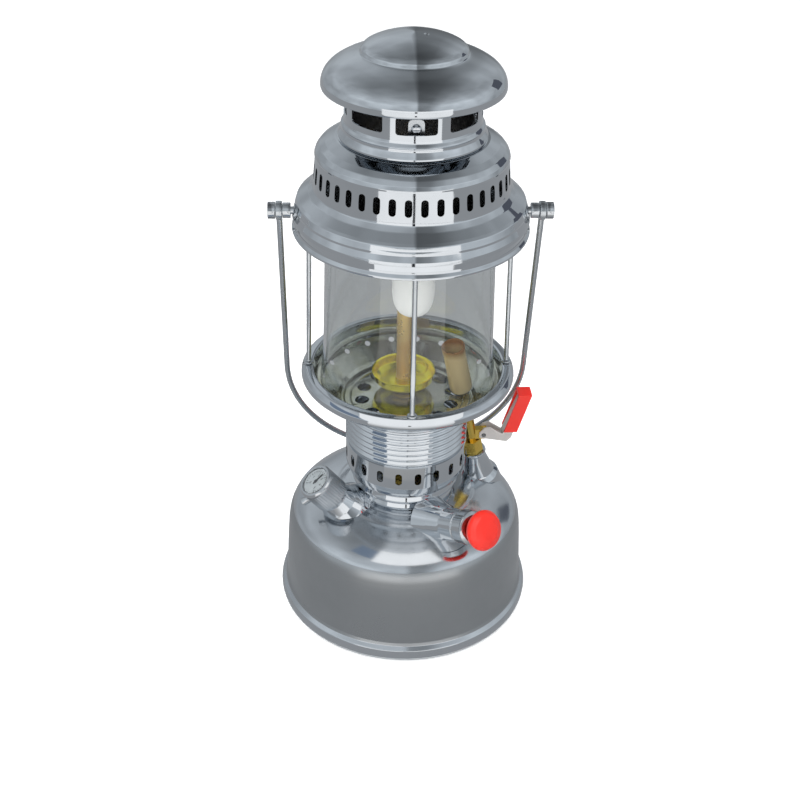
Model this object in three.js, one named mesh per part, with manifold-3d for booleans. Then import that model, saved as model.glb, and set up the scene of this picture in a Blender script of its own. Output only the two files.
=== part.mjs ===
import * as THREE from "three";
import { mergeVertices } from "three/addons/utils/BufferGeometryUtils.js";
import Module from "manifold-3d";

const wasm = await Module();
wasm.setup();

// Paraffin pressure lantern. Millimetres, +Z up, the table at z = 0, the front rod towards -Y.
// An azimuth is in degrees: 0 is the front, 90 the right, 180 the back.

// Shared sizes
const sheet = 0.8; // wall of every pressed piece
const gap = 0.3; // air left between pieces that touch
const overrun = 2; // how far a cutter runs past what it cuts
const largeSides = 32;
const smallSides = 12;

// Tank
const tank = {
  wallRadius: 78,
  rimProud: 7,
  rimHeight: 14,
  footInset: 4,
  wallHeight: 68,
  shoulderInset: 5.5,
  shoulderRise: 11.5,
  domeRise: 7,
  bottomLap: 6,
  bottomRise: 16,
  bottomDrop: 5,
  bottomCorner: 3,
};

// Neck collar
const collar = {
  baseRadius: 30.5,
  flare: 9.1,
  height: 68.7,
  beadTop: 23.2,
  ribDepth: 1.6,
  ribPitch: 4,
  ribCount: 7,
  ribMargin: 1.1,
  holeCount: 20,
  holeWidth: 4.4,
  holeHeight: 8.6,
  holeLevel: 30.7,
};

// Dish
const dish = {
  boreRadius: 9.4,
  floorMargin: 2.9,
  widestRise: 19,
  shoulderHeight: 6.6,
  shoulderWidth: 7.4,
  landWidth: 1.9,
  glassClearance: 2.7,
  seatLap: 2,
  lipDepth: 8.4,
  floorHoles: 12,
  floorHoleRadius: 4.6,
  floorHoleInset: 13.2,
  floorHoleTurn: 9,
};

// Wire rods between the dish and the top ring
const rods = {
  radius: 1.5,
  footMargin: 2.4,
  headMargin: 3.4,
  length: 98.2,
  flangeRadius: 3.1,
  flangeHeight: 1.2,
  sides: 8,
};

// Ring at the heads of the rods, which carries the hood and the inner casing
const topRing = {
  glassClearance: 6,
  rodMargin: 6.5,
  lipHeight: 10.5,
};

// Glass chimney
const glass = {
  footRadius: 55.6,
  waistRadius: 53.4,
  topRadius: 51,
  wall: 1.6,
  waistRise: 22,
};

// Hood
const hood = {
  rimProud: 3.7,
  rimDrop: 4,
  rimHeight: 5,
  skirtHeight: 17.7,
  brimWidth: 9.2,
  brimRise: 6.8,
  bandTaper: 1.6,
  bandDepth: 18,
  crownMargin: 2.6,
  crownRise: 11.4,
  slotCount: 40,
  slotWidth: 4.3,
  slotHeight: 10,
  slotRise: 8.5,
};

// Collar with windows, above the hood
const lantern = {
  radius: 39.4,
  flare: 3.6,
  flareHeight: 9,
  windowCount: 8,
  windowSpan: 34,
  windowHeight: 10,
  windowLevel: 18.7,
};

// Cap
const cap = {
  overhang: 13,
  lipDrop: 2,
  discInset: 9.4,
  discDrop: 11.6,
  height: 29,
  rimLevel: 29.5,
};

// Inner casing
const casing = {
  flangeLap: 4.4,
  clearance: 4.2,
  topMargin: 9.9,
  bridgeWidth: 12,
  bridgeLevel: 3.2,
  bridgeThickness: 1.8,
  hubRadius: 11.5,
  tabWidth: 9,
  tabHeight: 11.4,
  screwRadius: 3,
  screwHead: 1.8,
  screwShank: 1.5,
};

// Burner column: the upright line of the valve, the vaporizer and the jet
const column = {
  x: -2,
  y: 10,
  stemRadius: 6,
  stemDrop: 14,
  flangeRadius: 10.5,
  flangeHeight: 6,
  bodyRadius: 8,
  dishDrop: 4.66,
  boreRadius: 2.2,
  spindleLevel: 32,
  bossRadius: 5,
  bossClearance: 5.6,
  nutRadius: 8,
  nutHeight: 9.5,
  tubeRadius: 4.8,
  jetEntry: 0.46,
  jetRadius: 4.2,
  jetHeight: 8.6,
  jetTipRadius: 1.6,
  jetBore: 1.1,
  needleRadius: 1.4,
  needleTipRadius: 0.5,
  needleTipLength: 9,
  needleFoot: 12,
  pickupRadius: 2.6,
  pickupBore: 1.5,
  pickupClearance: 4.2,
};

// Control spindle and wheel
const control = {
  spindleRadius: 1.5,
  holeRadius: 2.4,
  tipClearance: 0.9,
  wheelRadius: 15,
  wheelClearance: 16.4,
  wheelThickness: 5.4,
  rimWidth: 3.4,
  webThickness: 2,
  hubRadius: 5,
  screwRadius: 3.2,
  screwHead: 1.8,
};

// Spirit cup round the vaporizer
const cup = {
  radius: 20.6,
  flare: 5.1,
  height: 9,
  wall: 0.7,
};

// Mantle, ceramic nozzle, mixing chamber and mixing tube
const mixer = {
  x: 2,
  y: -9,
  tubeRadius: 5,
  tubeWall: 0.8,
  tubeRise: 20,
  tubeSides: 8,
  tubeSteps: 10,
  chamberRadius: 8.6,
  chamberCollar: 10.8,
  chamberCollarHeight: 2,
  chamberDrop: 10,
  chamberRise: 5,
  nozzleRadius: 10.4,
  nozzleLength: 12.5,
  nozzleShank: 5,
  nozzleBore: 5,
  nozzleGroove: 8.6,
  mantleRadius: 13,
  mantleWall: 0.7,
  mantleLength: 49,
};

// Preheater: its axis runs from a foot on the tank to the mouth of the flame tube
const preheater = {
  footReach: 23.26,
  footAzimuth: 108.435,
  mouthReach: 28.16,
  mouthAzimuth: 83.884,
  mouthHeight: 22,
  bossRadius: 10.5,
  bossTopRadius: 6.8,
  bossLength: 21,
  hexRadius: 6.6,
  hexLength: 11,
  riserRadius: 3.9,
  riserLap: 5,
  tubeLength: 36.6,
  tubeRadius: 7.4,
  tubeWall: 0.7,
  feedRadius: 2.4,
  feedLength: 58,
  boreRadius: 1.4,
  holeRadius: 6.2,
};

// Preheater lever
const lever = {
  azimuth: 92,
  run: 37,
  pivotReach: 8.5,
  lugWidth: 5,
  lugRadius: 3.6,
  pinRadius: 1.3,
  plate: 1,
  armReach: 15.5,
  armDrop: 2.4,
  gripReach: 25.5,
  gripRise: 30,
  gripWidth: 11,
  gripDepth: 7,
  gripWall: 1.4,
  armHeight: 6,
};

// Pump: its axis runs from the middle of the knob down into the tank
const pump = {
  footReach: 15.81,
  footAzimuth: 26.74,
  reach: 40.8,
  azimuth: 42,
  elevation: 22,
  knobRadius: 12.9,
  knobHalf: 6.4,
  rodRadius: 2.2,
  capRadius: 11,
  capFront: 9,
  capBack: 19.4,
  capPlate: 3,
  barrelRadius: 6.4,
  barrelLength: 93.7,
  seatRadius: 10.6,
  seatEndRadius: 7.4,
  seatDepth: 9.2,
  pistonThickness: 3,
  pistonRadius: 4.8,
  leatherRadius: 5.2,
  leatherLength: 4,
  pistonMargin: 10,
  valveLength: 7,
  valveBore: 1.2,
};

// Filler: its axis runs from the middle of the cap's face down into the tank
const filler = {
  footReach: 17.05,
  reach: 30.65,
  azimuth: -65,
  elevation: 53,
  capRadius: 12,
  capLength: 19,
  capPlate: 6,
  neckRadius: 8.6,
  neckDepth: 11.35,
  seatRadius: 14,
  seatTopRadius: 10.4,
  seatLength: 9,
  gasketThickness: 1.6,
  dialRadius: 9.2,
  dialDepth: 2.4,
  dialThickness: 0.5,
  lensThickness: 0.6,
  needleLength: 8.64,
  needleTail: 2.24,
  needleWidth: 0.9,
  needleThickness: 0.4,
  needleHubRadius: 1.2,
  pivotRadius: 0.4,
  screwRadius: 2.6,
  screwLength: 5.6,
  screwShank: 1.2,
  screwDepth: 12,
  screwTurn: 250,
};

// Bail and its studs
const bail = {
  wireRadius: 1.8,
  clearance: 7.2,
  lean: 11.83,
  pivotRise: 6.2,
  eyeRadius: 5.6,
  eyeThickness: 3.6,
  studRadius: 2.3,
  studHead: 4.4,
  studHeadLength: 3,
  spacerRadius: 4.6,
  nutRadius: 5,
  nutLength: 4.6,
  sides: 8,
  steps: 24,
};

// Geometry helpers

function turned(points, sides) {
  const profile = points.map(([r, z]) => new THREE.Vector2(r, z));
  if (points[0][0] !== 0) profile.push(profile[0].clone());
  return new THREE.LatheGeometry(profile, sides).rotateX(Math.PI / 2);
}

function disc(radius, z0, z1, sides) {
  return turned([[0, z0], [radius, z0], [radius, z1], [0, z1]], sides);
}

function ring(inner, outer, z0, z1, sides) {
  return turned([[inner, z0], [outer, z0], [outer, z1], [inner, z1]], sides);
}

// Points given as shares of the way from one corner (r, z) to the other.
function fit(shares, [r0, z0], [r1, z1]) {
  return shares.map(([u, v]) => [r0 + (r1 - r0) * u, z0 + (z1 - z0) * v]);
}

// The outline moved to its left by a distance, with mitred corners; an end on the axis stays there.
function offset(outline, distance) {
  const normals = outline.slice(1).map(([r, z], i) => {
    const along = new THREE.Vector2(r - outline[i][0], z - outline[i][1]).normalize();
    return new THREE.Vector2(-along.y, along.x);
  });
  return outline.map(([r, z], i) => {
    const before = normals[Math.max(i - 1, 0)];
    const after = normals[Math.min(i, normals.length - 1)];
    const mitre = before.clone().add(after).divideScalar(1 + before.dot(after));
    if (r === 0) return [0, z + distance / mitre.y];
    return [r + mitre.x * distance, z + mitre.y * distance];
  });
}

// A sheet whose outer face is the outline.
function shell(outline, wall) {
  return [...outline, ...offset(outline, wall).reverse()];
}

// The height of an outline where it last passes a radius.
function heightAt(outline, radius) {
  let height = outline[outline.length - 1][1];
  outline.slice(1).forEach(([r, z], i) => {
    const [r0, z0] = outline[i];
    if ((r0 - radius) * (r - radius) <= 0 && r0 !== r) height = z0 + ((z - z0) * (radius - r0)) / (r - r0);
  });
  return height;
}

function radiusAt(outline, height) {
  let radius = outline[0][0];
  outline.slice(1).forEach(([r, z], i) => {
    const [r0, z0] = outline[i];
    if ((z0 - height) * (z - height) <= 0 && z0 !== z) radius = r0 + ((r - r0) * (height - z0)) / (z - z0);
  });
  return radius;
}

function solid(geometry) {
  const plain = geometry.clone();
  plain.deleteAttribute("normal");
  plain.deleteAttribute("uv");
  const merged = mergeVertices(plain);
  const made = new wasm.Mesh({
    numProp: 3,
    vertProperties: merged.attributes.position.array,
    triVerts: new Uint32Array(merged.index.array),
  });
  return new wasm.Manifold(made);
}

function meshed(body) {
  const made = body.getMesh();
  const geometry = new THREE.BufferGeometry();
  geometry.setAttribute("position", new THREE.BufferAttribute(made.vertProperties, made.numProp));
  geometry.setIndex(new THREE.BufferAttribute(made.triVerts, 1));
  return geometry;
}

function cut(geometry, ...cutters) {
  return meshed(cutters.reduce((body, cutter) => body.subtract(solid(cutter)), solid(geometry)));
}

function join(geometry, ...others) {
  return meshed(others.reduce((body, other) => body.add(solid(other)), solid(geometry)));
}

// An upright geometry turned so that it points towards +X or +Y.
const towardsX = (geometry) => geometry.rotateY(Math.PI / 2);
const towardsY = (geometry) => geometry.rotateX(-Math.PI / 2);

function circleShape(radius, sides) {
  const points = Array.from({ length: sides }, (_, i) => {
    const turn = (2 * Math.PI * i) / sides;
    return new THREE.Vector2(radius * Math.cos(turn), radius * Math.sin(turn));
  });
  return new THREE.Shape(points);
}

function alongCurve(shape, curve, steps) {
  return new THREE.ExtrudeGeometry(shape, { steps, extrudePath: curve, bevelEnabled: false });
}

// A flat outline in x and z, given a width along y with its middle at y = 0.
function plate(points, width) {
  const shape = new THREE.Shape(points.map(([x, z]) => new THREE.Vector2(x, z)));
  const made = new THREE.ExtrudeGeometry(shape, { depth: width, bevelEnabled: false });
  return made.rotateX(Math.PI / 2).translate(0, width / 2, 0);
}

// One cutter at the front, copied round the axis.
function aroundAxis(count, firstAzimuth, makeCutter) {
  return Array.from({ length: count }, (_, i) =>
    makeCutter().rotateZ(THREE.MathUtils.degToRad(firstAzimuth + (360 * i) / count)),
  );
}

function polar(radius, azimuth, z) {
  const turn = THREE.MathUtils.degToRad(azimuth);
  return new THREE.Vector3(radius * Math.sin(turn), -radius * Math.cos(turn), z);
}

// A group whose +Z points along an azimuth and elevation, with +X level and +Y upwards.
function axisGroup(origin, azimuth, elevation) {
  const turn = THREE.MathUtils.degToRad(azimuth);
  const tilt = THREE.MathUtils.degToRad(elevation);
  const level = new THREE.Vector3(Math.cos(turn), Math.sin(turn), 0);
  const outward = polar(Math.cos(tilt), azimuth, Math.sin(tilt));
  const upward = outward.clone().cross(level);
  const made = new THREE.Group();
  made.setRotationFromMatrix(new THREE.Matrix4().makeBasis(level, upward, outward));
  made.position.copy(origin);
  made.updateMatrix();
  return made;
}

// Materials
const chrome = () => new THREE.MeshStandardMaterial({ color: 0xd9dcdf, roughness: 0.08, metalness: 1 });
const satinChrome = () => new THREE.MeshStandardMaterial({ color: 0xb4b7ba, roughness: 0.32, metalness: 1 });
const brass = () => new THREE.MeshStandardMaterial({ color: 0xd8a93a, roughness: 0.25, metalness: 1 });
const steel = () => new THREE.MeshStandardMaterial({ color: 0x9a9c9e, roughness: 0.4, metalness: 1 });
const redPlastic = () => new THREE.MeshStandardMaterial({ color: 0xe8241c, roughness: 0.35, metalness: 0 });
const clearGlass = () =>
  new THREE.MeshStandardMaterial({ color: 0xf2f5f5, roughness: 0.02, transparent: true, opacity: 0.3 });
const mantleCloth = () => new THREE.MeshStandardMaterial({ color: 0xf6f5f0, roughness: 0.95, metalness: 0 });
const ceramic = () => new THREE.MeshStandardMaterial({ color: 0xdcd3c0, roughness: 0.8, metalness: 0 });
const leather = () => new THREE.MeshStandardMaterial({ color: 0x5a3a22, roughness: 0.85, metalness: 0 });
const rubber = () => new THREE.MeshStandardMaterial({ color: 0x1c1c1c, roughness: 0.9, metalness: 0 });
const dialCard = () => new THREE.MeshStandardMaterial({ color: 0xf1f1ec, roughness: 0.6, metalness: 0 });

const root = new THREE.Group();

function add(parent, name, geometry, material) {
  const mesh = new THREE.Mesh(geometry, material);
  mesh.name = name;
  parent.add(mesh);
  return mesh;
}

// Tank sizes, each built out from its wall
const rimRadius = tank.wallRadius + tank.rimProud;
const footRadius = rimRadius - tank.footInset;
const shoulderRadius = tank.wallRadius - tank.shoulderInset;
const shoulderLevel = tank.wallHeight + tank.shoulderRise;
const tankTop = shoulderLevel + tank.domeRise;

// Radii, each worked out from the piece inside it or under it
const collarRadius = collar.baseRadius + collar.flare;
const dishFloorRadius = collarRadius + dish.floorMargin;
const dishSeatRadius = glass.footRadius - dish.seatLap;
const dishLipRadius = glass.footRadius + dish.glassClearance;
const dishLandRadius = dishLipRadius + dish.landWidth;
const dishRadius = dishLandRadius + dish.shoulderWidth;
const rodFootReach = dishLandRadius + rods.footMargin;
const ringInner = glass.topRadius + topRing.glassClearance;
const rodHeadReach = ringInner + rods.headMargin;
const ringOuter = rodHeadReach + topRing.rodMargin;
const hoodRimRadius = ringOuter + hood.rimProud;
const bandRadius = ringOuter - hood.brimWidth;
const bandTopRadius = bandRadius - hood.bandTaper;
const casingRadius = lantern.radius - casing.clearance;
const capRimRadius = lantern.radius + cap.overhang;
const bailReach = hoodRimRadius + bail.clearance;

// Tank outline, from the foot to the middle of the top
const rimShares = [[-0.6, 0], [-0.1, 0], [0.5, 0.1], [0.92, 0.3], [1, 0.5], [0.85, 0.75], [0, 1]];
const shoulderShares = [[1, 0], [0.85, 0.65], [0, 1]];
const domeShares = [[0.55, 0.75], [0, 1]];
const tankOutline = [
  ...fit(rimShares, [footRadius, 0], [rimRadius, tank.rimHeight]),
  ...fit(shoulderShares, [shoulderRadius, tank.wallHeight], [tank.wallRadius, shoulderLevel]),
  ...fit(domeShares, [0, shoulderLevel], [shoulderRadius, tankTop]),
];
const tankEnvelope = turned([[0, 0], ...offset(tankOutline, -gap)], largeSides);

// Pieces that stand on the tank are cut to its shape.
function seatOnTank(geometry, group) {
  const placed = geometry.applyMatrix4(group.matrix);
  return cut(placed, tankEnvelope).applyMatrix4(group.matrix.clone().invert());
}

// Heights, each stacked on the one below
const neckBase = heightAt(tankOutline, collar.baseRadius) + gap;
const neckTop = neckBase + collar.height;
const dishFloor = neckTop + gap;
const dishLand = dishFloor + dish.widestRise + dish.shoulderHeight;
const dishSeat = dishLand - dish.lipDepth;
const glassSeat = dishSeat + gap;
const rodFoot = dishLand + gap;
const ringLevel = rodFoot + rods.length + gap;
const casingLevel = ringLevel + sheet + gap;
const hoodBase = ringLevel;
const bailPivot = hoodBase + bail.pivotRise;
const bandFoot = hoodBase + hood.skirtHeight + hood.brimRise;
const bandTop = bandFoot + hood.bandDepth;
const hoodTop = bandTop + hood.crownRise;
const lanternBase = hoodTop + gap;
const capRim = lanternBase + cap.rimLevel;
const bridgeTop = casingLevel + casing.bridgeLevel + casing.bridgeThickness;
const chamberCollarFoot = bridgeTop + gap;
const chamberTop = chamberCollarFoot + mixer.chamberCollarHeight + mixer.chamberRise;
const mixerFoot = chamberTop + gap;
const valveSeat = tankTop + gap;
const valveTop = dishFloor - column.dishDrop;
const spindleHeight = valveSeat + column.spindleLevel;
const vaporizerFoot = valveTop + gap;
const vaporizerTop = mixerFoot + column.jetEntry - column.jetHeight - gap;
const cupLevel = vaporizerFoot + column.nutHeight + gap;

// Axes that lean, each from a foot on the tank beside the collar
function onTank(reach, azimuth) {
  const radius = collar.baseRadius + reach;
  return polar(radius, azimuth, heightAt(tankOutline, radius));
}

function leaningGroup(foot, reach, azimuth, elevation) {
  const made = axisGroup(foot, azimuth, elevation);
  made.translateZ(reach);
  made.updateMatrix();
  return made;
}

const pumpGroup = leaningGroup(
  onTank(pump.footReach, pump.footAzimuth),
  pump.reach,
  pump.azimuth,
  pump.elevation,
);
const fillerGroup = leaningGroup(
  onTank(filler.footReach, filler.azimuth),
  filler.reach,
  filler.azimuth,
  filler.elevation,
);
const preheaterFoot = onTank(preheater.footReach, preheater.footAzimuth);
const preheaterMouth = polar(preheater.mouthReach, preheater.mouthAzimuth, glassSeat + preheater.mouthHeight);
const preheaterRun = preheaterMouth.clone().sub(preheaterFoot);
const preheaterLength = preheaterRun.length();
const preheaterGroup = axisGroup(
  preheaterFoot,
  THREE.MathUtils.radToDeg(Math.atan2(preheaterRun.x, -preheaterRun.y)),
  THREE.MathUtils.radToDeg(Math.asin(preheaterRun.z / preheaterLength)),
);

// The lever's own group: upright, with +X away from the preheater and z = 0 at the pin.
const leverGroup = new THREE.Group();
leverGroup.rotation.z = THREE.MathUtils.degToRad(lever.azimuth - 90);
leverGroup.position.copy(preheaterFoot).addScaledVector(preheaterRun, lever.run / preheaterLength);
leverGroup.position.add(polar(lever.pivotReach, lever.azimuth, 0));
leverGroup.updateMatrix();
root.add(pumpGroup, fillerGroup, preheaterGroup, leverGroup);

// Places along the leaning axes
const barrelTop = -pump.capFront - pump.capPlate - gap;
const barrelEnd = pump.barrelLength - barrelTop;
const pistonEnd = barrelEnd - pump.pistonMargin;
const seatEnd = pump.reach + pump.seatDepth;
const neckEnd = filler.reach + filler.neckDepth;
const tubeFoot = preheaterLength - preheater.tubeLength;
const riserEnd = tubeFoot + preheater.riserLap;

// Tank
function makeTank() {
  const valveHole = disc(column.stemRadius + gap, tank.wallHeight, tankTop + overrun, smallSides);
  const pumpHole = disc(pump.barrelRadius + gap, -barrelEnd, 0, smallSides);
  const fillerHole = disc(filler.neckRadius + gap, -neckEnd, 0, smallSides);
  const feedHole = disc(preheater.feedRadius + gap, -preheater.feedLength, preheater.bossLength, smallSides);
  const body = cut(
    turned(shell(tankOutline, sheet), largeSides),
    valveHole.translate(column.x, column.y, 0),
    pumpHole.applyMatrix4(pumpGroup.matrix),
    fillerHole.applyMatrix4(fillerGroup.matrix),
    feedHole.applyMatrix4(preheaterGroup.matrix),
  );
  add(root, "tank_shell", body, satinChrome());

  const bottomSeat = tank.rimHeight + tank.bottomLap;
  const edge = radiusAt(tankOutline, bottomSeat) - sheet - gap;
  const bottomOutline = [
    [0, tank.bottomRise],
    [edge - tank.bottomCorner, tank.bottomRise - tank.bottomDrop],
    [edge, tank.bottomRise - tank.bottomDrop + tank.bottomCorner / 2],
    [edge, bottomSeat],
  ];
  add(root, "tank_bottom", turned(shell(bottomOutline, sheet), largeSides), steel());
}

// Neck collar, dish and rods
const beadShares = [[0, 0], [0.27, 0.13], [0.12, 0.27], [0.53, 0.42], [0.36, 0.57], [0.81, 0.76], [1, 1]];

function makeCollar() {
  const beads = fit(
    beadShares,
    [collar.baseRadius, neckBase],
    [collarRadius, neckBase + collar.beadTop],
  );
  const firstRib = neckTop - collar.ribMargin - collar.ribCount * collar.ribPitch;
  const ribs = [[collarRadius, firstRib]];
  for (let i = 0; i < collar.ribCount; i += 1) {
    const foot = firstRib + i * collar.ribPitch;
    ribs.push([collarRadius + collar.ribDepth, foot + collar.ribPitch / 2]);
    ribs.push([collarRadius, foot + collar.ribPitch]);
  }
  const plain = [...beads.filter((_, i) => i % 2 === 0), [collarRadius, neckTop]];
  const inner = offset(plain, sheet).reverse();
  const outer = [...beads, ...ribs, [collarRadius, neckTop]];
  const hole = () =>
    new THREE.CylinderGeometry(1, 1, 2 * overrun + collar.ribDepth, 8)
      .scale(collar.holeWidth / 2, 1, collar.holeHeight / 2)
      .translate(0, -collarRadius, neckBase + collar.holeLevel);
  const spindleHole = towardsY(disc(control.holeRadius, 0, collarRadius + overrun, 10))
    .translate(0, 0, spindleHeight)
    .translate(column.x, 0, 0);
  const preheaterHole = disc(preheater.holeRadius, preheater.bossLength, preheaterLength, smallSides);
  const body = cut(
    turned([...outer, ...inner], collar.holeCount),
    ...aroundAxis(collar.holeCount, 180 / collar.holeCount, hole),
    spindleHole,
    preheaterHole.applyMatrix4(preheaterGroup.matrix),
  );
  add(root, "neck_collar", body, chrome());
}

const dishShares = [[0.08, 0.12], [0.86, 0.85], [1, 1]];
const dishRimShares = [[0.88, 0.6], [0.4, 1], [0, 1]];

function makeDish() {
  const widest = dishFloor + dish.widestRise;
  const outline = [
    [0, dishFloor],
    [dishFloorRadius, dishFloor],
    ...fit(dishShares, [dishFloorRadius, dishFloor], [dishRadius, widest]),
    ...fit(dishRimShares, [dishLandRadius, widest], [dishRadius, dishLand]),
    [dishLipRadius, dishSeat + sheet],
    [dishLipRadius - sheet, dishSeat],
    [dishSeatRadius, dishSeat],
  ];
  const floorHole = () =>
    disc(dish.floorHoleRadius, dishFloor - overrun, dishFloor + overrun, 8)
      .translate(0, dish.floorHoleInset - dishFloorRadius, 0);
  const burnerHole = disc(dish.boreRadius, dishFloor - overrun, dishFloor + overrun, smallSides);
  const preheaterHole = disc(preheater.holeRadius, preheater.bossLength, preheaterLength, smallSides);
  const body = cut(
    turned(shell(outline, sheet), largeSides),
    ...aroundAxis(dish.floorHoles, dish.floorHoleTurn, floorHole),
    burnerHole.translate(column.x, column.y, 0),
    preheaterHole.applyMatrix4(preheaterGroup.matrix),
  );
  add(root, "dish", body, chrome());
}

function makeRods() {
  ["front", "right", "rear", "left"].forEach((side, i) => {
    const foot = polar(rodFootReach, 90 * i, rodFoot);
    const head = polar(rodHeadReach, 90 * i, rodFoot + rods.length);
    const wire = alongCurve(circleShape(rods.radius, rods.sides), new THREE.LineCurve3(foot, head), 1);
    const flange = disc(rods.flangeRadius, rodFoot, rodFoot + rods.flangeHeight, rods.sides);
    flange.translate(foot.x, foot.y, 0);
    add(root, "rod_" + side, join(flange, wire), chrome());
  });
}

// Top ring, glass and hood
function makeTopRing() {
  const outline = [
    [ringInner, ringLevel],
    [ringOuter, ringLevel],
    [ringOuter, ringLevel + topRing.lipHeight],
  ];
  const body = cut(turned(shell(outline, sheet), largeSides), studHole());
  add(root, "top_ring", body, steel());
}

function studHole() {
  const reach = hoodRimRadius + overrun;
  return towardsX(disc(bail.studRadius + gap, -reach, reach, smallSides)).translate(0, 0, bailPivot);
}

function makeGlass() {
  const outline = [
    [glass.footRadius, glassSeat],
    [glass.waistRadius, glassSeat + glass.waistRise],
    [glass.topRadius, ringLevel + sheet],
  ];
  add(root, "glass_chimney", turned(shell(outline, glass.wall), largeSides), clearGlass());
}

const skirtRimShares = [[0.5, 0], [1, 0.35]];
const skirtShares = [[0.85, 0], [0.15, 0.85]];
const brimShares = [[0.28, 0.36], [0, 1]];
const crownShares = [[0.89, 0.37], [0.6, 0.67], [0.21, 0.91], [0, 1]];

function makeHood() {
  const foot = hoodBase - hood.rimDrop;
  const rimTop = foot + hood.rimHeight;
  const skirtTop = hoodBase + hood.skirtHeight;
  const outline = [
    ...fit(skirtRimShares, [ringOuter, foot], [hoodRimRadius, rimTop]),
    ...fit(skirtShares, [ringOuter, rimTop], [hoodRimRadius, skirtTop]),
    ...fit(brimShares, [bandRadius, skirtTop], [ringOuter, bandFoot]),
    [bandTopRadius, bandTop],
    ...fit(crownShares, [lantern.radius + hood.crownMargin, bandTop], [bandTopRadius, hoodTop]),
  ];
  const slot = () =>
    new THREE.BoxGeometry(hood.slotWidth, 4 * overrun, hood.slotHeight)
      .translate(0, -(bandRadius + bandTopRadius) / 2, bandFoot + hood.slotRise);
  const body = cut(
    turned(shell(outline, sheet), hood.slotCount),
    ...aroundAxis(hood.slotCount, 180 / hood.slotCount, slot),
    studHole(),
  );
  add(root, "hood_skirt", body, chrome());
}

const lanternShares = [[1, 0], [0.92, 0.22], [0.4, 0.6], [0, 1]];

function makeLantern() {
  const top = heightAt(offset(capOutline(), sheet), lantern.radius) - gap;
  const outline = [
    ...fit(
      lanternShares,
      [lantern.radius, lanternBase],
      [lantern.radius + lantern.flare, lanternBase + lantern.flareHeight],
    ),
    [lantern.radius, top],
  ];
  const width = 2 * lantern.radius * Math.sin(THREE.MathUtils.degToRad(lantern.windowSpan / 2));
  const opening = () =>
    new THREE.BoxGeometry(width, 6 * overrun, lantern.windowHeight)
      .translate(0, -lantern.radius, lanternBase + lantern.windowLevel);
  const body = cut(
    turned(shell(outline, sheet), largeSides),
    ...aroundAxis(lantern.windowCount, 0, opening),
  );
  add(root, "hood_collar", body, chrome());
}

const capBrimShares = [[0.95, 0], [1, 0.1], [0.97, 0.3], [0.85, 0.53], [0.54, 0.78], [0, 1]];
const capDiscShares = [[1, 0.17], [0.91, 0.43], [0.52, 0.85], [0, 1]];

function capOutline() {
  const discFoot = capRim + cap.height - cap.discDrop;
  const discRadius = lantern.radius - cap.discInset;
  return [
    ...fit(capBrimShares, [discRadius, capRim - cap.lipDrop], [capRimRadius, discFoot]),
    ...fit(capDiscShares, [0, discFoot], [discRadius, capRim + cap.height]),
  ];
}

function makeCap() {
  add(root, "hood_cap", turned(shell(capOutline(), sheet), largeSides), chrome());
}

// Inner casing with the bridge that holds the mixing chamber
function makeCasing() {
  const top = lanternBase + casing.topMargin;
  const flangeRadius = ringInner + casing.flangeLap;
  const outline = [
    [flangeRadius, casingLevel + sheet],
    [casingRadius, casingLevel + sheet],
    [casingRadius, top],
    [casingRadius - sheet, top],
    [casingRadius - sheet, casingLevel],
    [flangeRadius, casingLevel],
  ];
  const bridgeFoot = bridgeTop - casing.bridgeThickness;
  const span = Math.sqrt((casingRadius - sheet / 2) ** 2 - (Math.abs(mixer.y) + casing.bridgeWidth / 2) ** 2);
  const bridge = new THREE.BoxGeometry(2 * span, casing.bridgeWidth, casing.bridgeThickness)
    .translate(0, mixer.y, bridgeFoot + casing.bridgeThickness / 2);
  const hub = disc(casing.hubRadius, bridgeFoot, bridgeFoot + casing.bridgeThickness, smallSides)
    .translate(mixer.x, mixer.y, 0);
  const bore = disc(mixer.chamberRadius + gap, bridgeFoot - overrun, bridgeFoot + 2 * overrun, smallSides)
    .translate(mixer.x, mixer.y, 0);
  const tab = new THREE.BoxGeometry(casing.tabWidth, sheet, casing.tabHeight + overrun)
    .translate(0, -(casingRadius - sheet), top + (casing.tabHeight - overrun) / 2);
  const screwLevel = top + casing.tabHeight / 2;
  const screwFace = -(casingRadius - sheet / 2 + gap);
  const screwHole = towardsY(disc(casing.screwShank + gap, -casingRadius - overrun, -casingRadius / 2, 12))
    .translate(0, 0, screwLevel);
  const walls = join(turned(outline, 28), bridge, hub, tab);
  add(root, "inner_casing", cut(walls, bore, screwHole), steel());

  const screw = turned(
    [
      [0, -casing.screwHead],
      [casing.screwRadius * 0.7, -casing.screwHead],
      [casing.screwRadius, -casing.screwHead / 2],
      [casing.screwRadius, 0],
      [casing.screwShank, 0],
      [casing.screwShank, 3 * overrun],
      [0, 3 * overrun],
    ],
    12,
  );
  add(root, "casing_screw", towardsY(screw).translate(0, screwFace, screwLevel), steel());
}

// Mixing tube, chamber, nozzle and mantle
const mantleShares = [[0, 1], [0.74, 0.91], [0.96, 0.7], [1, 0.46], [0.95, 0.26], [0.78, 0.09], [0.76, 0]];

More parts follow.
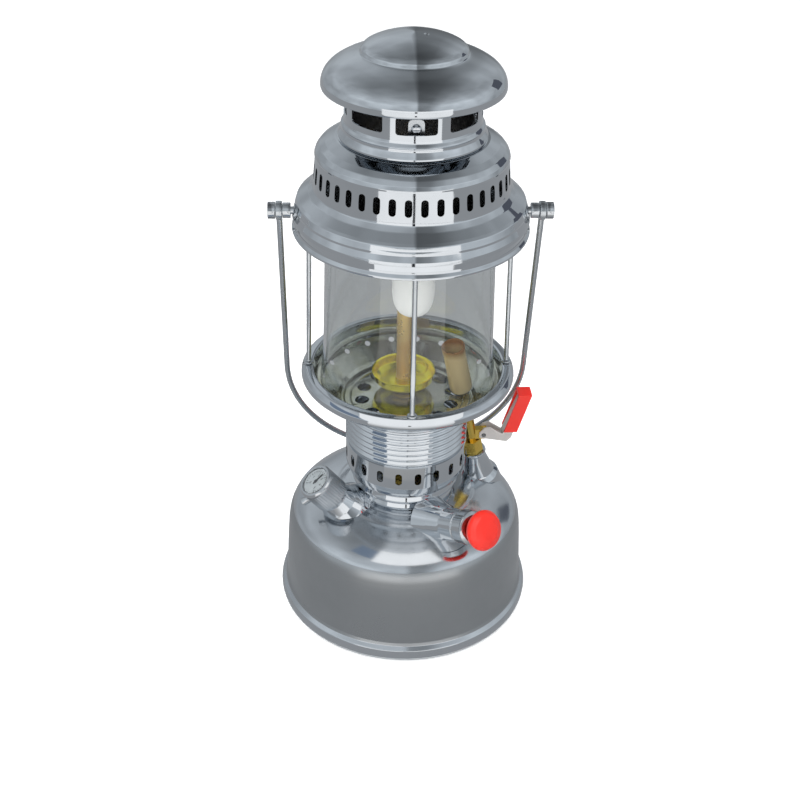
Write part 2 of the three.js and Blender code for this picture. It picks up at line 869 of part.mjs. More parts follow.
// Two straight legs joined by a half circle. Each leg takes one step.
class UCurve extends THREE.Curve {
  constructor(start, leg, across, steps) {
    super();
    this.start = start;
    this.leg = leg;
    this.across = across;
    this.steps = steps;
  }
  getUtoTmapping(u) {
    return u;
  }
  getPoint(t) {
    const bend = (t * this.steps - 1) / (this.steps - 2);
    const end = this.start.clone().add(this.across);
    if (bend < 0) return this.start.clone().addScaledVector(this.leg, t * this.steps);
    if (bend > 1) return end.addScaledVector(this.leg, (1 - t) * this.steps);
    const depth = (Math.sin(Math.PI * bend) * this.across.length()) / 2 / this.leg.length();
    const point = this.start.clone().lerp(end, (1 - Math.cos(Math.PI * bend)) / 2);
    return point.addScaledVector(this.leg, 1 + depth);
  }
}

function makeMixer() {
  const collarFoot = chamberCollarFoot;
  const chamberFoot = bridgeTop - mixer.chamberDrop;
  const bore = mixer.chamberRadius - sheet;
  const chamber = turned(
    [
      [bore, chamberFoot],
      [mixer.chamberRadius, chamberFoot],
      [mixer.chamberRadius, collarFoot],
      [mixer.chamberCollar, collarFoot],
      [mixer.chamberCollar, collarFoot + mixer.chamberCollarHeight],
      [mixer.chamberRadius, collarFoot + mixer.chamberCollarHeight],
      [mixer.chamberRadius, chamberTop],
      [mixer.tubeRadius - mixer.tubeWall, chamberTop],
      [mixer.tubeRadius - mixer.tubeWall, chamberTop - sheet],
      [bore, chamberTop - sheet],
    ],
    smallSides,
  );
  add(root, "mixing_chamber", chamber.translate(mixer.x, mixer.y, 0), brass());

  const across = new THREE.Vector3(column.x - mixer.x, column.y - mixer.y, 0);
  const start = new THREE.Vector3(mixer.x, mixer.y, mixerFoot);
  const section = circleShape(mixer.tubeRadius, mixer.tubeSides);
  section.holes.push(circleShape(mixer.tubeRadius - mixer.tubeWall, mixer.tubeSides));
  const leg = new THREE.Vector3(0, 0, mixer.tubeRise);
  const tube = alongCurve(section, new UCurve(start, leg, across, mixer.tubeSteps), mixer.tubeSteps);
  add(root, "mixing_tube", tube, steel());

  const nozzleTop = chamberFoot - gap;
  const nozzleFoot = nozzleTop - mixer.nozzleLength;
  const groove = nozzleFoot + mixer.nozzleLength / 4;
  const nozzle = turned(
    [
      [mixer.nozzleBore, nozzleFoot],
      [mixer.nozzleGroove, nozzleFoot],
      [mixer.nozzleGroove, groove + sheet],
      [mixer.nozzleRadius, groove + 2 * sheet],
      [mixer.nozzleRadius, nozzleTop],
      [bore - gap, nozzleTop],
      [bore - gap, nozzleTop + mixer.nozzleShank],
      [mixer.nozzleBore, nozzleTop + mixer.nozzleShank],
    ],
    smallSides,
  );
  add(root, "burner_nozzle", nozzle.translate(mixer.x, mixer.y, 0), ceramic());

  const mantleOutline = fit(
    mantleShares,
    [0, groove],
    [mixer.mantleRadius, groove - mixer.mantleLength],
  );
  const mantle = turned(shell(mantleOutline, mixer.mantleWall), 16);
  add(root, "mantle", mantle.translate(mixer.x, mixer.y, 0), mantleCloth());
}

// Valve, vaporizer, jet, needle and spirit cup, in a group on the burner column's own axis
const cupShares = [[0, 0], [0.8, 0.35], [1, 1]];

function makeColumn() {
  const line = new THREE.Group();
  line.position.set(column.x, column.y, 0);
  root.add(line);

  const hexTop = valveSeat + column.flangeHeight;
  const stem = ring(column.boreRadius, column.stemRadius, valveSeat - column.stemDrop, valveTop, smallSides);
  const hex = ring(column.boreRadius, column.flangeRadius, valveSeat, hexTop, 6);
  const body = ring(column.boreRadius, column.bodyRadius, hexTop - sheet, valveTop, smallSides);
  const bossReach = collarRadius - column.y - column.bossClearance;
  const boss = towardsY(disc(column.bossRadius, column.boreRadius + gap, bossReach, smallSides))
    .translate(0, 0, spindleHeight);
  const spindleBore = towardsY(
    disc(control.spindleRadius + gap, 0, bossReach + overrun, 10),
  ).translate(0, 0, spindleHeight);
  add(line, "valve_body", cut(join(stem, hex, body, boss), spindleBore), brass());

  const pickupTop = valveSeat - column.stemDrop - gap;
  const pickupEnd = tank.bottomRise + sheet + column.pickupClearance;
  const pickup = ring(column.pickupBore, column.pickupRadius, pickupEnd, pickupTop, 10);
  add(line, "pickup_tube", pickup, brass());

  const nutTop = vaporizerFoot + column.nutHeight;
  const nut = ring(column.boreRadius, column.nutRadius, vaporizerFoot, nutTop, 6);
  const riser = ring(column.boreRadius, column.tubeRadius, vaporizerFoot, vaporizerTop, smallSides);
  add(line, "vaporizer_tube", join(nut, riser), brass());

  const jetFoot = vaporizerTop + gap;
  const jet = turned(
    [
      [column.jetBore, jetFoot],
      [column.jetRadius, jetFoot],
      [column.jetRadius, jetFoot + column.jetHeight / 2],
      [column.jetTipRadius, jetFoot + column.jetHeight],
      [column.jetBore, jetFoot + column.jetHeight],
    ],
    smallSides,
  );
  add(line, "jet", jet, brass());

  const needleTop = jetFoot + column.jetHeight - overrun;
  const needleNeck = needleTop - column.needleTipLength;
  const needle = turned(
    [
      [0, valveSeat + column.needleFoot],
      [column.needleRadius, valveSeat + column.needleFoot],
      [column.needleRadius, needleNeck - overrun],
      [column.needleTipRadius, needleNeck],
      [column.needleTipRadius, needleTop],
      [0, needleTop],
    ],
    8,
  );
  add(line, "needle_rod", needle, steel());

  const cupInner = column.tubeRadius + gap;
  const cupOutline = [
    [cupInner, cupLevel],
    ...fit(cupShares, [cup.radius - cup.flare, cupLevel], [cup.radius, cupLevel + cup.height]),
  ];
  add(line, "spirit_cup", turned(shell(cupOutline, cup.wall), 20), brass());

  const tip = column.needleRadius + control.tipClearance;
  const hubFace = collarRadius - column.y + control.wheelClearance;
  const spindleEnd = hubFace + control.wheelThickness;
  const spindle = disc(control.spindleRadius, tip, spindleEnd, 10);
  add(line, "control_spindle", towardsY(spindle).translate(0, 0, spindleHeight), steel());
  const bore = control.spindleRadius + gap;
  const web = (control.wheelThickness - control.webThickness) / 2;
  const rimInner = control.wheelRadius - control.rimWidth;
  const wheel = turned(
    [
      [bore, 0],
      [control.hubRadius, 0],
      [control.hubRadius, web],
      [rimInner, web],
      [rimInner, 0],
      [control.wheelRadius, web / 2],
      [control.wheelRadius, control.wheelThickness - web / 2],
      [rimInner, control.wheelThickness],
      [rimInner, control.wheelThickness - web],
      [control.hubRadius, control.wheelThickness - web],
      [control.hubRadius, control.wheelThickness],
      [bore, control.wheelThickness],
    ],
    20,
  );
  add(line, "control_wheel", towardsY(wheel).translate(0, hubFace, spindleHeight), redPlastic());
  const screwFoot = spindleEnd + gap;
  const screw = disc(control.screwRadius, screwFoot, screwFoot + control.screwHead, 12);
  add(line, "wheel_screw", towardsY(screw).translate(0, 0, spindleHeight), steel());
}

// Pump, in its own group: z = 0 at the middle of the knob
function makePump() {
  const capInner = pump.capRadius - sheet * 2;
  const capBody = turned(
    [
      [pump.rodRadius + gap, -pump.capFront - pump.capPlate],
      [pump.rodRadius + gap, -pump.capFront],
      [capInner, -pump.capFront],
      [pump.capRadius, -pump.capFront - sheet],
      [pump.capRadius, -pump.capBack],
      [pump.barrelRadius + gap, -pump.capBack],
      [pump.barrelRadius + gap, -pump.capFront - pump.capPlate],
    ].reverse(),
    20,
  );
  add(pumpGroup, "pump_cap", capBody, chrome());

  const seatFront = -pump.capBack - gap;
  const seat = turned(
    [
      [pump.barrelRadius + gap, -seatEnd],
      [pump.seatEndRadius, -seatEnd],
      [pump.seatRadius, -(seatEnd + pump.capBack) / 2],
      [pump.seatRadius, seatFront],
      [pump.barrelRadius + gap, seatFront],
    ],
    20,
  );
  add(pumpGroup, "pump_seat", seatOnTank(seat, pumpGroup), chrome());

  const barrelBore = pump.barrelRadius - sheet;
  const barrel = ring(barrelBore, pump.barrelRadius, -barrelEnd, barrelTop, smallSides);
  add(pumpGroup, "pump_barrel", barrel, brass());

  const valveFoot = -barrelEnd - pump.valveLength;
  const valve = turned(
    [
      [pump.valveBore, valveFoot],
      [pump.barrelRadius - overrun, valveFoot],
      [pump.barrelRadius, -barrelEnd - gap],
      [barrelBore - gap, -barrelEnd - gap],
      [barrelBore - gap, -barrelEnd + overrun],
      [pump.valveBore, -barrelEnd + overrun],
    ],
    smallSides,
  );
  add(pumpGroup, "pump_check_valve", valve, brass());

  const knob = turned(
    fit(
      [[0, 0], [0.45, 0], [0.55, 0.12], [0.86, 0.2], [1, 0.42], [1, 0.62], [0.86, 0.86], [0.5, 0.98], [0, 1]],
      [0, -pump.knobHalf],
      [pump.knobRadius, pump.knobHalf],
    ),
    24,
  );
  const socket = disc(pump.rodRadius + gap, -pump.knobHalf - overrun, 0, 10);
  add(pumpGroup, "pump_knob", cut(knob, socket), redPlastic());
  add(pumpGroup, "pump_rod", disc(pump.rodRadius, -pistonEnd, -gap, 10), steel());

  const pistonFoot = -pistonEnd - gap - pump.pistonThickness;
  const piston = disc(pump.pistonRadius, pistonFoot, -pistonEnd - gap, 14);
  add(pumpGroup, "pump_piston", piston, steel());
  const leatherFoot = -pistonEnd + gap;
  const cupWall = turned(
    [
      [pump.rodRadius + gap, leatherFoot],
      [pump.leatherRadius, leatherFoot],
      [pump.leatherRadius, leatherFoot + pump.leatherLength],
      [pump.leatherRadius - sheet, leatherFoot + pump.leatherLength],
      [pump.leatherRadius - sheet, leatherFoot + sheet],
      [pump.rodRadius + gap, leatherFoot + sheet],
    ],
    14,
  );
  add(pumpGroup, "pump_leather", cupWall, leather());
}

// Filler, in its own group: z = 0 at the face of the cap
function makeFiller() {
  const bore = filler.neckRadius - 2 * sheet;
  const seatTop = -filler.capLength - gap;
  const neckTopEnd = -filler.capPlate - filler.gasketThickness - 2 * gap;
  const tube = ring(bore, filler.neckRadius, -neckEnd, neckTopEnd, smallSides);
  add(fillerGroup, "filler_neck", tube, brass());
  const flare = turned(
    [
      [filler.neckRadius + gap, -neckEnd],
      [filler.seatRadius, -neckEnd],
      [filler.seatRadius, seatTop - filler.seatLength],
      [filler.seatTopRadius, seatTop - sheet],
      [filler.seatTopRadius, seatTop],
      [filler.neckRadius + gap, seatTop],
    ],
    20,
  );
  add(fillerGroup, "filler_seat", seatOnTank(flare, fillerGroup), chrome());

  const gasketFoot = neckTopEnd + gap;
  const gasket = ring(bore, filler.neckRadius, gasketFoot, gasketFoot + filler.gasketThickness, smallSides);
  add(fillerGroup, "filler_gasket", gasket, rubber());

  const inner = filler.neckRadius + gap;
  const recess = filler.dialRadius + gap;
  const capProfile = [
    [inner, -filler.capLength],
    [filler.capRadius, -filler.capLength],
    [filler.capRadius, -sheet],
    [filler.capRadius - sheet, 0],
    [recess, 0],
    [recess, -filler.dialDepth],
    [filler.pivotRadius + gap, -filler.dialDepth],
    [filler.pivotRadius + gap, -filler.capPlate],
    [inner, -filler.capPlate],
  ];
  const placeScrew = (geometry) =>
    towardsX(geometry)
      .rotateZ(THREE.MathUtils.degToRad(filler.screwTurn))
      .translate(0, 0, -filler.screwDepth);
  const screwHole = placeScrew(disc(filler.screwShank + gap, 0, filler.capRadius + overrun, 10));
  add(fillerGroup, "filler_cap", cut(turned(capProfile, 24), screwHole), chrome());

  const dialFoot = -filler.dialDepth + gap;
  const dialFace = dialFoot + filler.dialThickness;
  const dial = ring(filler.pivotRadius + gap, filler.dialRadius, dialFoot, dialFace, 24);
  add(fillerGroup, "gauge_dial", dial, dialCard());
  const needleFoot = dialFace + gap;
  const needleTop = needleFoot + filler.needleThickness;
  const pointer = new THREE.BoxGeometry(filler.needleWidth, filler.needleLength, filler.needleThickness)
    .translate(0, filler.needleLength / 2 - filler.needleTail, needleFoot + filler.needleThickness / 2);
  const hub = disc(filler.needleHubRadius, needleFoot, needleTop, 10);
  const pivot = disc(filler.pivotRadius, -filler.capPlate + sheet, needleTop, 8);
  add(fillerGroup, "gauge_needle", join(hub, pointer, pivot), rubber());
  const lensFoot = needleTop + gap;
  const lens = disc(filler.dialRadius, lensFoot, lensFoot + filler.lensThickness, 24);
  add(fillerGroup, "gauge_lens", lens, clearGlass());

  const screwFoot = filler.capRadius + gap;
  const screw = turned(
    [
      [0, inner + gap],
      [filler.screwShank, inner + gap],
      [filler.screwShank, screwFoot],
      [filler.screwRadius, screwFoot],
      [filler.screwRadius, screwFoot + filler.screwLength],
      [0, screwFoot + filler.screwLength],
    ],
    12,
  );
  add(fillerGroup, "release_screw", placeScrew(screw), brass());
}

// Preheater, in its own group: z = 0 at its foot on the tank
function makePreheater() {
  const bossTop = preheater.bossLength;
  const boss = turned(
    [
      [preheater.feedRadius + gap, -preheater.bossRadius],
      [preheater.bossRadius, -preheater.bossRadius],
      [preheater.bossRadius, preheater.bossRadius / 4],
      [preheater.bossTopRadius, bossTop - overrun],
      [preheater.bossTopRadius, bossTop],
      [preheater.feedRadius + gap, bossTop],
    ],
    20,
  );
  add(preheaterGroup, "preheater_boss", seatOnTank(boss, preheaterGroup), chrome());

  const hexFoot = bossTop + gap;
  const hexTop = hexFoot + preheater.hexLength;
  const channel = preheater.boreRadius;
  const feed = ring(channel, preheater.feedRadius, -preheater.feedLength, hexFoot + gap, smallSides);
  const hex = ring(channel, preheater.hexRadius, hexFoot, hexTop, 6);
  const riser = ring(channel, preheater.riserRadius, hexFoot, riserEnd, smallSides);
  const lug = plate(
    fit(
      [[-1, 0], [0.6, 0], [1, 0.5], [0.6, 1], [-1, 1]],
      [0, -lever.lugRadius],
      [lever.lugRadius, lever.lugRadius],
    ).map(([x, z], i) => [i % 4 === 0 ? -lever.pivotReach : x, z]),
    lever.lugWidth,
  );
  const pinHole = towardsY(disc(lever.pinRadius + gap, -lever.lugWidth, lever.lugWidth, 10));
  const bore = disc(channel, -preheater.feedLength - overrun, riserEnd + overrun, smallSides);
  const fromLever = preheaterGroup.matrix.clone().invert().multiply(leverGroup.matrix);
  const body = cut(
    join(feed, hex, riser, lug.applyMatrix4(fromLever)),
    bore,
    pinHole.applyMatrix4(fromLever),
  );
  add(preheaterGroup, "preheater_body", body, brass());

  const flame = turned(
    [
      [preheater.riserRadius + gap, tubeFoot],
      [preheater.tubeRadius, tubeFoot],
      [preheater.tubeRadius, preheaterLength],
      [preheater.tubeRadius - preheater.tubeWall, preheaterLength],
      [preheater.tubeRadius - preheater.tubeWall, tubeFoot + sheet],
      [preheater.riserRadius + gap, tubeFoot + sheet],
    ],
    20,
  );
  add(preheaterGroup, "preheater_tube", flame, brass());

  const halfPin = lever.lugWidth / 2 + gap + lever.plate + gap;
  add(leverGroup, "preheater_pin", towardsY(disc(lever.pinRadius, -halfPin, halfPin, 10)), steel());

  const half = lever.armHeight / 2;
  const armPoints = [
    [-half, -half * 0.6],
    [-half, half * 0.6],
    [0, 1.8 * half],
    [1.3 * half, 2.1 * half],
    [lever.armReach - half, half - lever.armDrop],
    [lever.gripReach - half * 0.9, lever.gripRise],
    [lever.gripReach + half * 0.3, lever.gripRise],
    [lever.armReach + half, -lever.armDrop],
    [lever.armReach, -lever.armDrop - half],
    [half, -half],
  ];
  const arm = plate(armPoints, lever.lugWidth + 2 * (gap + lever.plate));
  const slot = new THREE.BoxGeometry(
    2 * (lever.armReach - half),
    lever.lugWidth + 2 * gap,
    4 * lever.armHeight,
  );
  const armHole = towardsY(disc(lever.pinRadius + gap, -lever.gripWidth, lever.gripWidth, 10));
  add(leverGroup, "preheater_lever", cut(arm, slot, armHole), steel());

  const armWidth = lever.lugWidth + 2 * (gap + lever.plate);
  const lean = (lever.gripReach - lever.armReach) / (lever.gripRise + lever.armDrop);
  const gripFoot = half;
  const gripAt = (z) => lever.armReach + half + (z + lever.armDrop) * lean;
  const coverPoints = [
    [gripAt(gripFoot) - lever.gripDepth, gripFoot],
    [gripAt(gripFoot) + lever.gripWall + gap, gripFoot],
    [gripAt(lever.gripRise) + lever.gripWall + gap, lever.gripRise + lever.gripWall + gap],
    [gripAt(lever.gripRise) - lever.gripDepth, lever.gripRise + lever.gripWall + gap],
  ];
  const hollowPoints = [
    [gripAt(gripFoot) - 2 * lever.gripDepth, gripFoot - overrun],
    [gripAt(gripFoot - overrun) + gap, gripFoot - overrun],
    [gripAt(lever.gripRise) + gap, lever.gripRise + gap],
    [gripAt(lever.gripRise) - 2 * lever.gripDepth, lever.gripRise + gap],
  ];
  const cover = plate(coverPoints, armWidth + 2 * (gap + lever.gripWall));
  const hollow = plate(hollowPoints, armWidth + 2 * gap);
  add(leverGroup, "preheater_grip", cut(cover, hollow), redPlastic());
}

// Bail with its studs and nuts
// The legs are as long as it takes for the leaning bail to rest on the tank.
function bailLegLength(lean) {
  let reach = bailPivot - tankTop;
  for (let i = 0; i < 20; i += 1) {
    const surface = heightAt(tankOutline, reach * Math.sin(lean));
    reach = (bailPivot - surface - bail.wireRadius - gap) / Math.cos(lean);
  }
  return reach - bailReach;
}

function makeBail() {
  const from = bail.eyeRadius - sheet;
  const lean = THREE.MathUtils.degToRad(bail.lean);
  const legLength = bailLegLength(lean);
  const curve = new UCurve(
    new THREE.Vector3(-bailReach, 0, -from),
    new THREE.Vector3(0, 0, from - legLength),
    new THREE.Vector3(2 * bailReach, 0, 0),
    bail.steps,
  );
  const wire = alongCurve(circleShape(bail.wireRadius, bail.sides), curve, bail.steps);
  const half = bail.eyeThickness / 2;
  const bore = bail.studRadius + gap;
  const eyes = [-1, 1].map((side) =>
    towardsX(ring(bore, bail.eyeRadius, -half, half, smallSides)).translate(side * bailReach, 0, 0),
  );
  const bores = [-1, 1].map((side) =>
    towardsX(disc(bore, -2 * half, 2 * half, smallSides)).translate(side * bailReach, 0, 0),
  );
  const made = add(root, "bail", cut(join(wire, ...eyes), ...bores), chrome());
  made.rotation.x = lean;
  made.position.z = bailPivot;

  const ringInside = (ringOuter - sheet) * Math.cos(Math.PI / largeSides) - gap;
  const eyeInside = bailReach - half - gap;
  const eyeOutside = bailReach + half + gap;
  const spacerFoot = hoodRimRadius + gap;
  [["left", Math.PI], ["right", 0]].forEach(([side, turn]) => {
    const group = new THREE.Group();
    group.position.z = bailPivot;
    group.rotation.z = turn;
    root.add(group);
    const stud = turned(
      [
        [0, ringInside - bail.studHeadLength],
        [bail.studHead, ringInside - bail.studHeadLength],
        [bail.studHead, ringInside],
        [bail.studRadius, ringInside],
        [bail.studRadius, spacerFoot],
        [bail.spacerRadius, spacerFoot],
        [bail.spacerRadius, eyeInside],
        [bail.studRadius, eyeInside],
        [bail.studRadius, eyeOutside + bail.nutLength - gap],
        [0, eyeOutside + bail.nutLength - gap],
      ],
      smallSides,
    );
    add(group, "bail_stud_" + side, towardsX(stud), steel());
    const nut = ring(bore, bail.nutRadius, eyeOutside, eyeOutside + bail.nutLength, smallSides);
    add(group, "bail_nut_" + side, towardsX(nut), chrome());
  });
}

makeTank();
makeCollar();
makeDish();
makeRods();
makeTopRing();
makeGlass();
makeHood();
makeLantern();
makeCap();
makeCasing();
makeMixer();
makeColumn();
makePump();
makeFiller();
makePreheater();
makeBail();

export default root;
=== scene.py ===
import math

import bpy
from mathutils import Matrix, Vector


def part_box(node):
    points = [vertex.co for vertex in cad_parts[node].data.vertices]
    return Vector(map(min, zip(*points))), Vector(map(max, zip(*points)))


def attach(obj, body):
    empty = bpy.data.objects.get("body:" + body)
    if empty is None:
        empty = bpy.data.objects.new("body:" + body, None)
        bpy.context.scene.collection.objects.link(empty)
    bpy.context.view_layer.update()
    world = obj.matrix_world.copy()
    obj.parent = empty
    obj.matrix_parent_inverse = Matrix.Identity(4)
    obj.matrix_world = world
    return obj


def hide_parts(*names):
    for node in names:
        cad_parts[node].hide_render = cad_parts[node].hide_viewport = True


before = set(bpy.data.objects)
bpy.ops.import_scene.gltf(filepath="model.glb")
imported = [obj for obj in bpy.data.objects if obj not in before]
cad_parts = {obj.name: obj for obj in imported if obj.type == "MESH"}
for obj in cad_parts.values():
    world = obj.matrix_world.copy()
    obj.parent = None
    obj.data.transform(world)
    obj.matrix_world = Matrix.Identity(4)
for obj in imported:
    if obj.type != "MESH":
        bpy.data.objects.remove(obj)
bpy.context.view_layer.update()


def mm(length):
    return length / 1000


def lowest(node):
    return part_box(node)[0].z * 1000  # level of the node's foot in mm


def highest(node):
    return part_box(node)[1].z * 1000  # level of the node's top in mm


# Selecting and shaping


def clearSelection():
    active = bpy.context.view_layer.objects.active
    if active and active.mode != "OBJECT":
        bpy.ops.object.mode_set(mode="OBJECT")
    bpy.ops.object.select_all(action="DESELECT")


def focus(piece):
    clearSelection()
    piece.select_set(True)
    bpy.context.view_layer.objects.active = piece


def editAll(piece):
    focus(piece)
    bpy.ops.object.mode_set(mode="EDIT")
    bpy.ops.mesh.select_all(action="SELECT")


# Stays in edit mode, with the vertices selected whose place in mm passes a test
def selectVertices(piece, test):
    focus(piece)
    bpy.ops.object.mode_set(mode="EDIT")
    bpy.ops.mesh.select_mode(type="VERT")
    bpy.ops.mesh.select_all(action="DESELECT")
    bpy.ops.object.mode_set(mode="OBJECT")
    for vertex in piece.data.vertices:
        vertex.select = test(vertex.co * 1000)
    bpy.ops.object.mode_set(mode="EDIT")


def cleanUp(piece):
    editAll(piece)
    bpy.ops.mesh.remove_doubles(threshold=mm(0.003))
    bpy.ops.mesh.delete_loose(use_verts=True, use_edges=True, use_faces=False)
    bpy.ops.mesh.select_all(action="SELECT")
    bpy.ops.mesh.normals_make_consistent(inside=False)
    bpy.ops.object.mode_set(mode="OBJECT")


def smooth(piece, angle=28):
    focus(piece)
    bpy.ops.object.shade_smooth_by_angle(angle=math.radians(angle))


def joined(pieces):
    clearSelection()
    for piece in pieces:
        piece.select_set(True)
    bpy.context.view_layer.objects.active = pieces[0]
    bpy.ops.object.join()
    return bpy.context.object


# A chain of vertices drawn point by point in the XZ plane, in mm
def drawn(name, points):
    clearSelection()
    bpy.ops.mesh.primitive_plane_add(size=mm(1))
    piece = bpy.context.object
    piece.name = piece.data.name = name
    bpy.ops.object.mode_set(mode="EDIT")
    bpy.ops.mesh.select_all(action="SELECT")
    bpy.ops.mesh.merge(type="CENTER")
    bpy.ops.transform.translate(value=(mm(points[0][0]), 0, mm(points[0][1])))
    for (x0, z0), (x1, z1) in zip(points, points[1:]):
        step = (mm(x1 - x0), 0, mm(z1 - z0))
        bpy.ops.mesh.extrude_vertices_move(TRANSFORM_OT_translate={"value": step})
    bpy.ops.object.mode_set(mode="OBJECT")
    return piece


# A turned piece: the profile is spun round the upright axis
def turned(name, profile, steps, angle=28):
    piece = drawn(name, profile)
    editAll(piece)
    bpy.ops.mesh.spin(steps=steps, angle=math.tau, center=(0, 0, 0), axis=(0, 0, 1))
    bpy.ops.object.mode_set(mode="OBJECT")
    cleanUp(piece)
    smooth(piece, angle)
    return piece


# A flat shape in the XZ plane, as thick as asked along Y
def plate(name, points, width):
    piece = drawn(name, points)
    editAll(piece)
    bpy.ops.mesh.edge_face_add()
    bpy.ops.transform.translate(value=(0, -mm(width) / 2, 0))
    bpy.ops.mesh.extrude_region_move(TRANSFORM_OT_translate={"value": (0, mm(width), 0)})
    bpy.ops.object.mode_set(mode="OBJECT")
    cleanUp(piece)
    return piece


# An outline moved up to a level
def raised(points, level):
    return [(radius, level + height, *corner) for radius, height, *corner in points]


# An outline that ends where it starts
def closed(points):
    return [*points, points[0]]


# Corners with a radius as their third number are rounded off
def rounded(points, steps):
    line = []
    for i, (radius, height, *corner) in enumerate(points):
        if not corner or i in (0, len(points) - 1):
            line.append((radius, height))
            continue
        here = Vector((radius, height))
        before = Vector(points[i - 1][:2]) - here
        after = Vector(points[i + 1][:2]) - here
        reach = corner[0] / math.tan(before.angle(after) / 2)
        reach = min(reach, before.length * 0.48, after.length * 0.48)  # two corners may share a side
        start = here + before.normalized() * reach
        end = here + after.normalized() * reach
        for k in range(steps + 1):
            t = k / steps
            point = start * (1 - t) ** 2 + here * 2 * t * (1 - t) + end * t * t
            line.append(tuple(point))
    return line


# A smooth line that passes through a few points
def flowing(points, steps):
    knots = [Vector(point) for point in points]
    knots = [2 * knots[0] - knots[1], *knots, 2 * knots[-1] - knots[-2]]
    line = []
    for a, b, c, d in zip(knots, knots[1:], knots[2:], knots[3:]):
        for k in range(steps):
            t = k / steps
            bend = 2 * a - 5 * b + 4 * c - d + t * (3 * b - a - 3 * c + d)
            line.append(tuple(b + 0.5 * t * ((c - a) + t * bend)))
    return line + [tuple(points[-1])]


# The closed outline of a pressed sheet: the outer line and its inner one
def pressed(outline, wall=0.8):
    line = [Vector(outline[0])]
    for point in outline[1:]:
        if (Vector(point) - line[-1]).length > 0.02:  # doubled points are left out
            line.append(Vector(point))
    inner = []
    for i, point in enumerate(line):
        run = line[min(i + 1, len(line) - 1)] - line[max(i - 1, 0)]
        outward = Vector((run.y, -run.x)).normalized()
        spot = point - outward * wall
        inner.append((max(spot.x, 0), spot.y))
    return [tuple(point) for point in line] + inner[::-1] + [tuple(line[0])]


def applyModifier(piece, kind, **settings):
    focus(piece)
    modifier = piece.modifiers.new(kind.lower(), kind)
    for name, value in settings.items():
        setattr(modifier, name, value)
    bpy.ops.object.modifier_apply(modifier=modifier.name)


def bevelEdges(piece, width, segments, angle=35):
    applyModifier(
        piece,
        "BEVEL",
        width=mm(width),
        segments=segments,
        limit_method="ANGLE",
        angle_limit=math.radians(angle),
    )


def cutAway(piece, *cutters):
    for cutter in cutters:
        applyModifier(piece, "BOOLEAN", operation="DIFFERENCE", solver="EXACT", object=cutter)
        bpy.data.objects.remove(cutter)
    smooth(piece)


# Copies round the upright axis, the first one where the piece is
def ringOfCopies(piece, count):
    editAll(piece)
    bpy.ops.mesh.spin(
        steps=count - 1,
        angle=math.tau * (count - 1) / count,
        dupli=True,
        center=(0, 0, 0),
        axis=(0, 0, 1),
    )
    bpy.ops.object.mode_set(mode="OBJECT")


# A cutter for a slot that looks outwards along -Y
def slotCutter(width, height, inner, outer, level, azimuth, sides=20):
    clearSelection()
    bpy.ops.mesh.primitive_cylinder_add(
        vertices=sides,
        radius=mm(width) / 2,
        depth=mm(outer - inner),
        rotation=(math.pi / 2, 0, 0),
        location=(0, -mm(inner + outer) / 2, mm(level)),
    )
    cutter = bpy.context.object
    bpy.ops.object.transform_apply(location=True, rotation=True, scale=True)
    stretch = (height - width) / 2
    for side in (1, -1):
        selectVertices(cutter, lambda spot: (spot.z - level) * side > 0.01)
        bpy.ops.transform.translate(value=(0, 0, mm(side * stretch)))
        bpy.ops.object.mode_set(mode="OBJECT")
    return place(cutter, rotated(azimuth, "Z"))


# A round cutter or a pin along Z
def rod(name, radius, foot, top, sides=32):
    clearSelection()
    bpy.ops.mesh.primitive_cylinder_add(
        vertices=sides,
        radius=mm(radius),
        depth=mm(top - foot),
        location=(0, 0, mm(foot + top) / 2),
    )
    piece = bpy.context.object
    piece.name = piece.data.name = name
    bpy.ops.object.transform_apply(location=True, rotation=True, scale=True)
    return piece


# Every other column of vertices past a radius is drawn in, which cuts flutes
def flute(piece, columns, depth, radius, foot, top):
    def inGroove(spot):
        turn = math.atan2(spot.y, spot.x) / math.tau * columns
        near = abs(turn - round(turn)) < 0.2 and round(turn) % 2 == 0
        return near and spot.xy.length > radius - 0.2 and foot < spot.z < top

    selectVertices(piece, inGroove)
    share = (radius - depth) / radius
    bpy.ops.transform.resize(value=(share, share, 1), center_override=(0, 0, 0))
    bpy.ops.object.mode_set(mode="OBJECT")


# A piece is moved by a matrix, and the move goes into its mesh
def place(piece, matrix):
    piece.matrix_world = matrix
    focus(piece)
    bpy.ops.object.transform_apply(location=True, rotation=True, scale=True)
    return piece


# The frame of a fitting that leans out: azimuth 0 is the front, elevation is from level
def leaning(origin, azimuth, elevation):
    a, e = math.radians(azimuth), math.radians(elevation)
    zAxis = Vector((math.sin(a) * math.cos(e), -math.cos(a) * math.cos(e), math.sin(e)))
    xAxis = Vector((math.cos(a), math.sin(a), 0))
    yAxis = zAxis.cross(xAxis)
    turn = Matrix((xAxis, yAxis, zAxis)).transposed().to_4x4()
    return Matrix.Translation(Vector(origin) / 1000) @ turn


def shifted(x, y, z=0):
    return Matrix.Translation((mm(x), mm(y), mm(z)))


def rotated(angle, axis):
    return Matrix.Rotation(math.radians(angle), 4, axis)


# A piece gets its finish and its body, and the CAD nodes that it stands for are hidden
def finished(piece, body, finish, slot, *nodes):
    piece.data.materials.clear()
    piece.data.materials.append(finish)
    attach(piece, body)
    if nodes:
        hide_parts(*nodes)


# Colours and materials


def hexColor(code):
    channels = [int(code[i : i + 2], 16) / 255 for i in (1, 3, 5)]
    linear = [c / 12.92 if c <= 0.04045 else ((c + 0.055) / 1.055) ** 2.4 for c in channels]
    return (*linear, 1)


